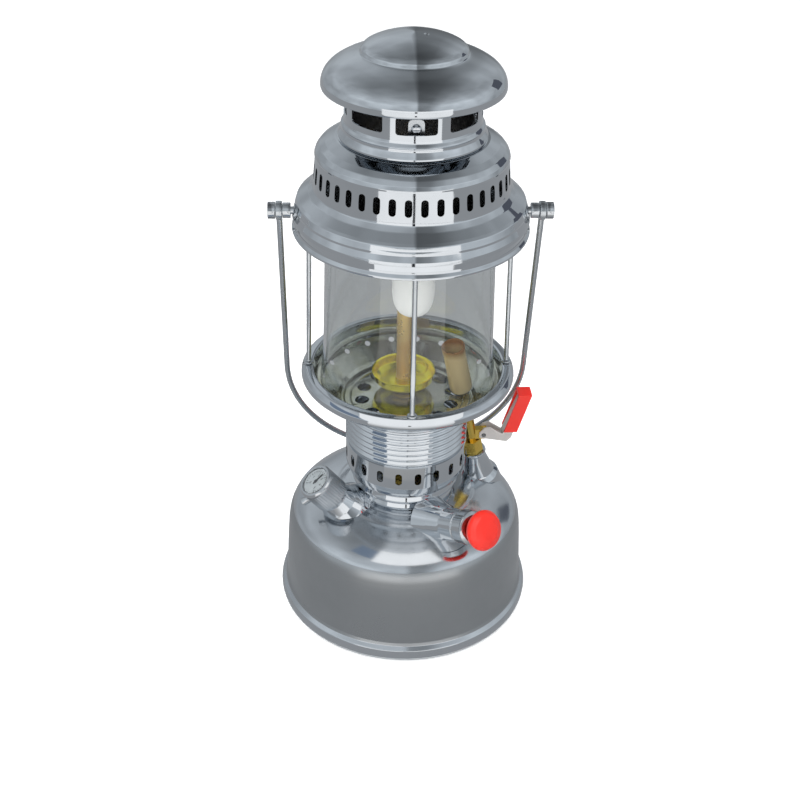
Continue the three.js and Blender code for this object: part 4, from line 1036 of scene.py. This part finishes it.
# Mantle: a net bag tied on the nozzle, gathered under the thread and a little at its tip
def makeMantle():
    mantle = {
        "bag": [(0, 0), (6.8, 1.3), (10.8, 5.4), (12.7, 13), (12.9, 24), (12.2, 33), (10.6, 39),
                (9.75, 42)],
        "mouth": 9.9,
        "lift": 4.2,
        "wall": 0.6,
        "flatReach": 7,
        "gathers": 18,
        "gatherDepth": 0.05,
        "neckFrom": 26,
        "neckRun": 16,
        "tipRun": 8,
        "tipShare": 0.5,
    }
    foot, top = lowest("mantle") + mantle["lift"], highest("mantle")
    line = flowing(raised(mantle["bag"], foot) + [(mantle["mouth"], top)], 7)
    inner = []
    for radius, height in line:
        rise = mantle["wall"] if radius < mantle["flatReach"] else 0
        inner.append((max(radius - mantle["wall"], 0), height + rise))
    bag = turned("mantleBag", line + inner[::-1], steps=108, angle=60)
    for vertex in bag.data.vertices:
        spot = vertex.co * 1000
        height = spot.z - foot
        neck = min(max((height - mantle["neckFrom"]) / mantle["neckRun"], 0), 1)
        tip = min(max(1 - height / mantle["tipRun"], 0), 1)
        wave = 0.5 + 0.5 * math.cos(mantle["gathers"] * math.atan2(spot.y, spot.x))
        vertex.co.xy *= 1 - mantle["gatherDepth"] * (neck + mantle["tipShare"] * tip) * wave
    place(bag, shifted(*places["mantle"]))
    finished(bag, "lantern", mantleClothPaintedGlow, "mantle_cloth", "mantle")


# Nozzle: a foot for the mantle's thread, a wider body and a neck, fired as one
def makeNozzle():
    foot, top = lowest("burner_nozzle"), highest("burner_nozzle")
    nozzle = {
        "body": [(5, 0), (8.6, 0, 0.6), (8.6, 3.9, 0.5), (10.4, 4.8, 0.6), (10.4, 12.5, 0.8),
                 (7.5, 12.5)],
        "neck": [(7.5, 0), (5, 0)],
    }
    line = raised(nozzle["body"], foot) + raised(nozzle["neck"], top)
    piece = turned("burnerNozzle", rounded(closed(line), 4), steps=48)
    place(piece, shifted(*places["mantle"]))
    finished(piece, "lantern", ceramic, "ceramic", "burner_nozzle")


makeColumn()
makeSpiritCup()
makeMantle()
makeNozzle()
print("burner made")


# Preheater: boss on the tank and flame tube
def makePreheater():
    preheater = {
        "boss": [(2.7, -10), (15, -10), (13.4, -1.5, 2), (10.6, 1.4, 3), (10.0, 4, 2), (7.6, 14, 8),
                 (6.8, 18.4, 1.5), (7.9, 19.2, 0.4), (7.9, 20.4, 0.4), (6.8, 21, 0.3), (2.7, 21)],
        "tube": [(4.2, 79), (7.2, 79, 1.5), (7.35, 84, 3), (7.0, 108, 8), (7.4, 114, 4),
                 (7.4, 115.5, 0.3), (6.8, 115.5, 0.3), (6.6, 108, 8), (6.7, 84, 3), (6.5, 79.8, 1),
                 (4.2, 79.8)],
        "mouthLevel": 193,
    }
    axis = preheaterFrame()
    makeSeat("preheaterBoss", preheater["boss"], 56, axis, "preheater_boss")
    tube = turned("flameTube", rounded(closed(preheater["tube"]), 5), steps=56)
    place(tube, axis)
    finished(tube, "lantern", flameTubeFinish(preheater["mouthLevel"]), "brass", "preheater_tube")


# Pump: knob on its rod, fluted cap and the seat that meets the tank
def makePump():
    pump = {
        "knob": [(2.5, -2.9), (2.5, -6.4), (5.6, -6.4, 0.8), (7.2, -4.8, 1.2), (11.2, -4.1, 2.5),
                 (12.9, -0.6, 2.2), (12.9, 1.4, 2.2), (11.2, 4.6, 2.6), (6.4, 6.15, 5), (0, 6.4),
                 (0, -2.9)],
        "cap": [(2.6, -12), (2.6, -9), (8.8, -9, 0.5), (11, -10.2, 0.7), (11, -11.6), (11, -18),
                (11, -19.35, 0.5), (6.8, -19.35), (6.8, -12)],
        "flutes": {"columns": 80, "depth": 0.5, "radius": 11, "foot": -19.0, "top": -10.6},
        "seat": [(6.8, -50), (17, -50), (13.6, -40, 4), (10.9, -31, 8), (10.6, -22, 1.5),
                 (10.6, -19.75, 0.4), (6.8, -19.75)],
    }
    axis = pumpFrame()
    knob = turned("pumpKnob", rounded(closed(pump["knob"]), 6), steps=72, angle=50)
    place(knob, axis)
    finished(knob, "pump_plunger", redPlastic, "red_plastic", "pump_knob")
    cap = turned("pumpCap", rounded(closed(pump["cap"]), 3), steps=pump["flutes"]["columns"], angle=24)
    flute(cap, **pump["flutes"])
    place(cap, axis)
    finished(cap, "lantern", turnedChrome, "chrome", "pump_cap")
    makeSeat("pumpSeat", pump["seat"], 64, axis, "pump_seat")


# The release screw's axis in the frame of the cap: it points out of the cap's side
def releaseFrame():
    return shifted(0, 0, releaseAxis["level"]) @ rotated(releaseAxis["turn"], "Z") @ rotated(90, "Y")


# Filler: fluted cap and the seat that meets the tank
def makeFiller():
    filler = {
        "cap": [(8.9, -19), (12, -19, 0.4), (12, -17.6), (12, -3.4), (12, -1.2, 0.6), (11.0, 0, 0.5),
                (9.6, 0, 0.3), (9.6, -2.4), (0.8, -2.4), (0.8, -6), (8.9, -6)],
        "flutes": {"columns": 96, "depth": 0.35, "radius": 12, "foot": -18, "top": -3},
        "screwHole": 1.5,
        "screwRun": (4, 16),
        "seat": [(8.9, -42), (20, -42), (17.2, -33, 4), (13.4, -27.6, 4), (10.6, -21.4, 1.2),
                 (10.4, -19.35, 0.4), (8.9, -19.35)],
    }
    axis = fillerFrame()
    line = rounded(closed(filler["cap"]), 4)
    cap = turned("fillerCap", line, steps=filler["flutes"]["columns"], angle=24)
    flute(cap, **filler["flutes"])
    cutAway(cap, place(rod("screwHole", filler["screwHole"], *filler["screwRun"]), releaseFrame()))
    place(cap, axis)
    finished(cap, "filler_cap", turnedChrome, "chrome", "filler_cap")
    makeSeat("fillerSeat", filler["seat"], 72, axis, "filler_seat")


# Gauge in the cap: a dial with a plain scale under a lens
def makeGauge():
    gauge = {
        "dial": [(0.7, -2.1), (9.2, -2.1), (9.2, -1.6, 0.1), (0.7, -1.6)],
        "lens": [(0, -0.55), (9.15, -0.55), (9.15, -0.2, 0.15), (5, -0.02, 3), (0, 0.0)],
        "firstAngle": 225,
        "sweep": 270,
        "marks": 20,
        "marksPerFigure": 4,
        "markReach": 7.9,
        "markRun": (-1.62, -1.56),
        "markWidth": 0.3,
        "longMark": 1.9,
        "shortMark": 1.1,
        "figureRing": 4.5,
        "figureLevel": -1.58,
        "figureSize": 2.5,
        "figureDepth": 0.03,
    }
    axis = fillerFrame()
    dial = turned("gaugeDial", rounded(closed(gauge["dial"]), 2), steps=72)
    place(dial, axis)
    finished(dial, "filler_cap", dialCard, "dial_card", "gauge_dial")
    marks = []
    low, high = gauge["markRun"]
    for k in range(gauge["marks"] + 1):
        size = gauge["shortMark"] if k % gauge["marksPerFigure"] else gauge["longMark"]
        inner, outer = gauge["markReach"] - size, gauge["markReach"]
        outline = [(inner, low), (outer, low), (outer, high), (inner, high)]
        mark = plate("dialMark", outline, gauge["markWidth"])
        angle = gauge["firstAngle"] - gauge["sweep"] * k / gauge["marks"]
        marks.append(place(mark, rotated(angle, "Z")))
    figures = gauge["marks"] // gauge["marksPerFigure"]
    for k in range(figures + 1):
        angle = math.radians(gauge["firstAngle"] - gauge["sweep"] * k / figures)
        clearSelection()
        bpy.ops.object.text_add()
        figure = bpy.context.object
        figure.data.body = str(k)
        figure.data.size = mm(gauge["figureSize"])
        figure.data.extrude = mm(gauge["figureDepth"])
        figure.data.align_x = figure.data.align_y = "CENTER"
        bpy.ops.object.convert(target="MESH")
        across, up = gauge["figureRing"] * math.cos(angle), gauge["figureRing"] * math.sin(angle)
        marks.append(place(bpy.context.object, shifted(across, up, gauge["figureLevel"])))
    scale = joined(marks)
    scale.name = scale.data.name = "dialScale"
    place(scale, axis)
    finished(scale, "filler_cap", dialInk, "dial_card")
    lens = turned("gaugeLens", rounded(gauge["lens"], 4), steps=56)
    place(lens, axis)
    finished(lens, "filler_cap", clearGlass, "glass", "gauge_lens")
    lens.visible_shadow = False


# Release screw in the cap's side, with a fluted head
def makeReleaseScrew():
    release = {
        "screw": [(0, 9.3), (1.15, 9.3), (1.15, 12.35), (2.6, 12.35, 0.3), (2.6, 13.2), (2.6, 17),
                  (2.6, 17.85, 0.4), (0, 17.9)],
        "flutes": {"columns": 32, "depth": 0.3, "radius": 2.6, "foot": 12.8, "top": 17.4},
    }
    screw = turned("releaseScrew", rounded(release["screw"], 3), steps=release["flutes"]["columns"])
    flute(screw, **release["flutes"])
    place(screw, fillerFrame() @ releaseFrame())
    finished(screw, "release_screw", turnedChrome, "chrome", "release_screw")


makePreheater()
makePump()
makeFiller()
makeGauge()
makeReleaseScrew()
print("fittings made")


# Bail: one bent wire with an eye at each end, hanging a little to the rear
def makeBail():
    bail = {
        "wire": 1.8,
        "reach": 77.8,
        "eye": 5.6,
        "eyeWidth": 3.6,
        "eyeBevel": 0.5,
        "bore": 2.6,
        "sink": 0.8,
        "lean": 11.83,
        "legSteps": 8,
        "bowSteps": 56,
    }
    hang = (places["bailPivot"] - bail["wire"] - lowest("bail")) / math.cos(math.radians(bail["lean"]))
    straight = hang - bail["reach"]
    start = bail["eye"] - bail["sink"]
    step = mm(straight - start) / bail["legSteps"]
    clearSelection()
    bpy.ops.mesh.primitive_circle_add(vertices=20, radius=mm(bail["wire"]))
    wire = bpy.context.object
    wire.name = wire.data.name = "bailWire"
    bpy.ops.object.mode_set(mode="EDIT")
    bpy.ops.mesh.select_all(action="SELECT")
    bpy.ops.transform.translate(value=(mm(-bail["reach"]), 0, mm(-start)))
    for direction in (-1, 1):
        for _ in range(bail["legSteps"]):
            bpy.ops.mesh.extrude_region_move(TRANSFORM_OT_translate={"value": (0, 0, direction * step)})
        if direction < 0:  # the bow joins the leg going down to the one coming up
            bpy.ops.mesh.spin(
                steps=bail["bowSteps"], angle=math.pi, center=(0, 0, -mm(straight)), axis=(0, 1, 0)
            )
    bpy.ops.object.mode_set(mode="OBJECT")
    cleanUp(wire)
    bore, eye, half, bevel = bail["bore"], bail["eye"], bail["eyeWidth"] / 2, bail["eyeBevel"]
    profile = closed([(bore, -half), (eye, -half, bevel), (eye, half, bevel), (bore, half)])
    eyes = []
    for side in (-1, 1):
        ring = turned("bailEye", rounded(profile, 3), steps=40)
        eyes.append(place(ring, shifted(side * bail["reach"], 0) @ rotated(90, "Y")))
    joined([wire, *eyes])
    smooth(wire, 40)
    place(wire, shifted(0, 0, places["bailPivot"]) @ rotated(bail["lean"], "X"))
    finished(wire, "bail", zincSteel, "chrome", "bail")


# Studs through the hood and their fluted nuts
def makeStuds():
    studs = {
        "head": [(0, 0), (4.3, 0.3, 0.6), (4.3, 2.6), (2.3, 2.6)],
        "collar": [(2.3, 70.95), (4.6, 70.95, 0.4), (4.6, 75.65, 0.4), (2.3, 75.65)],
        "tip": [(2.3, -0.6, 0.3), (1.8, 0, 0.2), (0, 0)],
        "nut": [(2.5, 79.95), (5, 79.95, 0.4), (5, 80.8), (5, 83.6), (5, 84.45, 0.5), (2.5, 84.45)],
        "flutes": {"columns": 48, "depth": 0.35, "radius": 5, "foot": 80.3, "top": 84.0},
    }
    for side, turn in (("left", 180), ("right", 0)):
        inner, outer = sorted(abs(corner.x) * 1000 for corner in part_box("bail_stud_" + side))
        axis = shifted(0, 0, places["bailPivot"]) @ rotated(turn, "Z") @ rotated(90, "Y")
        line = raised(studs["head"], inner) + studs["collar"] + raised(studs["tip"], outer)
        stud = turned("bailStud" + side.capitalize(), rounded(line, 3), steps=40)
        place(stud, axis)
        finished(stud, "lantern", turnedChrome, "steel", "bail_stud_" + side)
        line = rounded(closed(studs["nut"]), 3)
        nut = turned("bailNut" + side.capitalize(), line, steps=studs["flutes"]["columns"], angle=24)
        flute(nut, **studs["flutes"])
        place(nut, axis)
        finished(nut, "lantern", turnedChrome, "chrome", "bail_nut_" + side)


makeBail()
makeStuds()
print("bail made")


# Control wheel at the rear: rim with finger notches, web and hub
def makeWheel():
    wheel = {
        "profile": [(1.8, 0), (5, 0, 0.4), (5, 1.7, 0.6), (11.6, 1.7, 0.6), (11.6, 0, 0.4),
                    (15, 0.5, 1.0), (15, 2.0), (15, 3.4), (15, 4.9, 1.0), (11.6, 5.4, 0.4),
                    (11.6, 3.7, 0.6), (5, 3.7, 0.6), (5, 5.4, 0.4), (1.8, 5.4)],
        "notches": {"columns": 36, "depth": 0.7, "radius": 15, "foot": 0.6, "top": 4.8},
        "reach": 56,
    }
    piece = turned("controlWheel", rounded(closed(wheel["profile"]), 4), steps=72, angle=40)
    flute(piece, **wheel["notches"])
    place(piece, shifted(places["column"][0], wheel["reach"], places["spindleLevel"]) @ rotated(-90, "X"))
    finished(piece, "control_wheel", redPlastic, "red_plastic", "control_wheel")


makeWheel()
print("control wheel made")

# The CAD solids that stay, each with its own metal or plastic
keptNodes = {
    "filler_neck": turnedBrass,
    "filler_gasket": rubber,
    "gauge_needle": dialInk,
    "pump_barrel": turnedBrass,
    "pump_check_valve": turnedBrass,
    "pump_rod": zincSteel,
    "pump_piston": dullSteel,
    "pump_leather": leather,
    "preheater_body": turnedBrass,
    "preheater_lever": paleStrip,
    "preheater_grip": redPlastic,
    "preheater_pin": dullSteel,
    "valve_body": turnedBrass,
    "pickup_tube": turnedBrass,
    "jet": turnedBrass,
    "needle_rod": dullSteel,
    "mixing_tube": dullSteel,
    "mixing_chamber": turnedBrass,
    "control_spindle": zincSteel,
    "wheel_screw": zincSteel,
}
for name, finish in keptNodes.items():
    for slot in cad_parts[name].material_slots:
        slot.link = "OBJECT"
        slot.material = finish
print("kept solids painted")


# A lit card of one colour
def cardFinish(name, color, strength):
    material, tree = newMaterial(name)
    light = addNode(tree, "ShaderNodeEmission", {"Color": hexColor(color), "Strength": strength})
    addNode(tree, "ShaderNodeOutputMaterial", {}, {"Surface": light.outputs["Emission"]})
    return material


# Painted reflection of a room: painted light low down and at the left, painted shade from just right of the
# middle, cloudy
def roomFinish():
    room = {
        "color": "#eef5fb",
        "rise": [(0.0, 0.66), (0.3, 0.7), (0.5, 0.82), (0.75, 0.7), (0.9, 0.42), (1.0, 0.34)],
        "side": [(0.0, 1.0), (0.508, 1.0), (0.53, 0.4), (0.64, 0.48), (0.76, 0.95), (1.0, 1.05)],
        "sideReach": 0.85,
        "rear": 0.72,
        "fade": 0.25,
        "cloudScale": 2.2,
        "cloud": (0.82, 1.16),
    }
    material, tree = newMaterial("studioRoomPaintedReflection")
    spot = addNode(tree, "ShaderNodeTexCoord").outputs["Object"]
    away = addNode(tree, "ShaderNodeVectorMath", {"operation": "NORMALIZE"}, {0: spot}).outputs["Vector"]
    parts = addNode(tree, "ShaderNodeSeparateXYZ", {}, {"Vector": away})
    across = addNode(
        tree,
        "ShaderNodeMapRange",
        {"From Min": -room["sideReach"], "From Max": room["sideReach"]},
        {"Value": parts.outputs["X"]},
    )
    rear = addNode(
        tree,
        "ShaderNodeMapRange",
        {"From Min": -room["fade"], "From Max": room["fade"], "To Min": 1.0, "To Max": room["rear"]},
        {"Value": parts.outputs["Y"]},
    )
    cloud = addNode(
        tree, "ShaderNodeTexNoise", {"Scale": room["cloudScale"], "Detail": 2.0}, {"Vector": away}
    )
    uneven = addNode(
        tree,
        "ShaderNodeMapRange",
        {"From Min": 0.35, "From Max": 0.65, "To Min": room["cloud"][0], "To Max": room["cloud"][1]},
        {"Value": cloud.outputs["Fac"]},
    )
    shares = []
    for stops, source in ((room["rise"], parts.outputs["Z"]), (room["side"], across.outputs["Result"])):
        ramp = addNode(tree, "ShaderNodeValToRGB", {}, {"Fac": source})
        elements = ramp.color_ramp.elements
        while len(elements) < len(stops):
            elements.new(0.5)
        for element, (position, grey) in zip(elements, stops):
            element.position = position
            element.color = (grey, grey, grey, 1)
        shares.append(ramp.outputs["Color"])
    level = rear.outputs["Result"]
    for share in (*shares, uneven.outputs["Result"]):
        product = addNode(tree, "ShaderNodeMath", {"operation": "MULTIPLY"}, {0: level, 1: share})
        level = product.outputs["Value"]
    light = addNode(tree, "ShaderNodeEmission", {"Color": hexColor(room["color"])}, {"Strength": level})
    addNode(tree, "ShaderNodeOutputMaterial", {}, {"Surface": light.outputs["Emission"]})
    return material


# Painted reflection of white paper in front: painted shade close to the lantern, bright further out
def paperFinish():
    paper = {"near": 200, "far": 500, "dim": 0.46, "bright": 1.2}
    material, tree = newMaterial("studioPaperPaintedReflection")
    spot = addNode(tree, "ShaderNodeTexCoord").outputs["Object"]
    away = addNode(tree, "ShaderNodeVectorMath", {"operation": "LENGTH"}, {0: spot}).outputs["Value"]
    # Painted shade: the paper's reflection dims towards the lantern
    level = addNode(
        tree,
        "ShaderNodeMapRange",
        {
            "From Min": mm(paper["near"]),
            "From Max": mm(paper["far"]),
            "To Min": paper["dim"],
            "To Max": paper["bright"],
        },
        {"Value": away},
    )
    light = addNode(
        tree, "ShaderNodeEmission", {"Color": (1, 1, 1, 1)}, {"Strength": level.outputs["Result"]}
    )
    addNode(tree, "ShaderNodeOutputMaterial", {}, {"Surface": light.outputs["Emission"]})
    return material


# A card that only mirrors and glass see, swept round the upright axis: azimuth 0 is the front
def sweptCard(name, line, azimuths, steps, finish):
    card = drawn(name, line)
    editAll(card)
    span = math.radians(azimuths[1] - azimuths[0])
    bpy.ops.mesh.spin(steps=steps, angle=span, center=(0, 0, 0), axis=(0, 0, 1))
    bpy.ops.object.mode_set(mode="OBJECT")
    cleanUp(card)
    place(card, rotated(azimuths[1] - 90, "Z"))
    card.data.materials.clear()
    card.data.materials.append(finish)
    card.visible_camera = card.visible_diffuse = card.visible_shadow = False
    card.visible_volume_scatter = False
    return card


# A patch of the sky
def skyCard(name, azimuths, elevations, radius, finish):
    low, high = (math.radians(angle) for angle in elevations)
    count = 16
    arc = []
    for k in range(count + 1):
        angle = low + (high - low) * k / count
        arc.append((radius * math.cos(angle), radius * math.sin(angle)))
    return sweptCard(name, arc, azimuths, 48, finish)


# A level patch, on the floor or hung over the tank
def floorCard(name, azimuths, radii, level, finish):
    return sweptCard(name, [(radii[0], level), (radii[1], level)], azimuths, 72, finish)


# Painted reflections that the chrome mirrors: the room, a bright front with a painted dark post, paper with
# painted shade, a grey floor and two dome cards
def makeCards():
    glow = {"floorGrey": 0.42, "white": 1.25, "blue": 0.52, "shade": 0.14, "dark": 0.03}
    floorGrey = cardFinish("cardFloorGrey", "#f4f7fb", glow["floorGrey"])
    white = cardFinish("cardWhite", "#ffffff", glow["white"])
    shade = cardFinish("cardShade", "#dfe8ff", glow["shade"])
    dark = cardFinish("cardDark", "#dfe8ff", glow["dark"])
    blue = cardFinish("cardBlue", "#aabdd6", glow["blue"])
    skyCard("skyRoomPaintedReflection", (0, 360), (-2, 90), 2500, roomFinish())
    # Painted highlight of a bright front, a painted dark patch at the right and a painted dark post in the
    # front's middle
    skyCard("skyWhiteFront", (-40, 44), (-2, 15), 2400, white)
    skyCard("skyDarkRight", (118, 134), (12, 32), 2380, shade)
    skyCard("skyDarkPost", (-1.4, 1.6), (-2, 11), 2300, dark)
    # Painted reflection of the floor: grey all round, paper white in front
    floorCard("floorGreyRing", (0, 360), (86, 2480), 0.3, floorGrey)
    floorCard("floorWhiteWedge", (-40, 44), (190, 2300), 0.6, paperFinish())
    # Painted white and blue reflections on the tank's top, from two cards over it; the glass doesn't show
    # them
    floorCard("domeWhite", (-33, 34), (70, 145), 190, white).visible_transmission = False
    floorCard("domeBlue", (-58, -34), (78, 125), 190, blue).visible_transmission = False
    # Painted dark strip in the floor's reflection, under the dark post
    floorCard("floorDarkStrip", (-1.2, 1.4), (640, 1500), 0.9, dark)


# Pale paper floor: it takes shadows, and the camera sees it a little lifted
def makeFloor():
    paper = {"size": 12000, "color": "#efefee", "lift": 0.55}
    clearSelection()
    bpy.ops.mesh.primitive_plane_add(size=mm(paper["size"]))
    floor = bpy.context.object
    floor.name = floor.data.name = "studioFloor"
    material, tree = newMaterial("paperPale")
    path = addNode(tree, "ShaderNodeLightPath")
    lift = addNode(
        tree,
        "ShaderNodeMath",
        {"operation": "MULTIPLY", 1: paper["lift"]},
        {0: path.outputs["Is Camera Ray"]},
    )
    matt = addNode(tree, "ShaderNodeBsdfDiffuse", {"Color": hexColor(paper["color"])})
    glow = addNode(tree, "ShaderNodeEmission", {"Color": (1, 1, 1, 1)}, {"Strength": lift.outputs["Value"]})
    both = addNode(tree, "ShaderNodeAddShader", {}, {0: matt.outputs["BSDF"], 1: glow.outputs["Emission"]})
    addNode(tree, "ShaderNodeOutputMaterial", {}, {"Surface": both.outputs["Shader"]})
    floor.data.materials.append(material)


# A plain room for the light, white where the camera, mirrors and glass look past the cards
def makeWorld():
    sky = {"color": "#eef3fa", "strength": 0.45, "seenStrength": 1.0}
    world = bpy.data.worlds.new("studioWorld")
    bpy.context.scene.world = world
    world.use_nodes = True
    tree = world.node_tree
    tree.nodes.clear()
    path = addNode(tree, "ShaderNodeLightPath")
    seen = path.outputs["Is Camera Ray"]
    for ray in ("Is Glossy Ray", "Is Transmission Ray"):
        either = addNode(tree, "ShaderNodeMath", {"operation": "MAXIMUM"}, {0: seen, 1: path.outputs[ray]})
        seen = either.outputs["Value"]
    room = addNode(
        tree, "ShaderNodeBackground", {"Color": hexColor(sky["color"]), "Strength": sky["strength"]}
    )
    backdrop = addNode(
        tree, "ShaderNodeBackground", {"Color": (1, 1, 1, 1), "Strength": sky["seenStrength"]}
    )
    mix = addNode(
        tree,
        "ShaderNodeMixShader",
        {},
        {0: seen, 1: room.outputs["Background"], 2: backdrop.outputs["Background"]},
    )
    addNode(tree, "ShaderNodeOutputWorld", {}, {"Surface": mix.outputs["Shader"]})


# Two large soft lamps: where they stand, where they aim, their size and power
def makeLamps():
    lamps = {
        "top": {"spot": (0, -200, 1400), "aim": (0, 0, 0), "size": 1200, "power": 16},
        "front": {"spot": (-500, -1300, 900), "aim": (0, 0, 150), "size": 900, "power": 12},
    }
    for name, lamp in lamps.items():
        spot, aim = Vector(lamp["spot"]), Vector(lamp["aim"])
        bpy.ops.object.light_add(type="AREA", location=spot / 1000)
        light = bpy.context.object
        light.name = "lamp" + name.capitalize()
        light.data.size = mm(lamp["size"])
        light.data.energy = lamp["power"]
        light.rotation_euler = (aim - spot).to_track_quat("-Z", "Y").to_euler()
        light.visible_glossy = False
        light.visible_transmission = False


# The photograph's viewing angle: seen from a little left of the front, 33 degrees down
def makeCamera():
    view = {
        "spot": (-37, -698, 607),
        "down": 33.1,
        "turn": -3.03,
        "roll": 1.3,
        "lens": 58.05,
        "sensor": 36,
        "shift": -0.0085,
    }
    bpy.ops.object.camera_add(location=Vector(view["spot"]) / 1000)
    camera = bpy.context.object
    turn = rotated(view["turn"], "Z") @ rotated(90 - view["down"], "X") @ rotated(view["roll"], "Z")
    camera.rotation_euler = turn.to_euler()
    camera.data.lens = view["lens"]
    camera.data.sensor_width = view["sensor"]
    camera.data.shift_x = view["shift"]
    camera.data.clip_start = 0.01
    bpy.context.scene.camera = camera


clearSelection()
makeCards()
makeFloor()
makeWorld()
makeLamps()
makeCamera()
bpy.context.scene.view_settings.view_transform = "Standard"
print("studio ready")
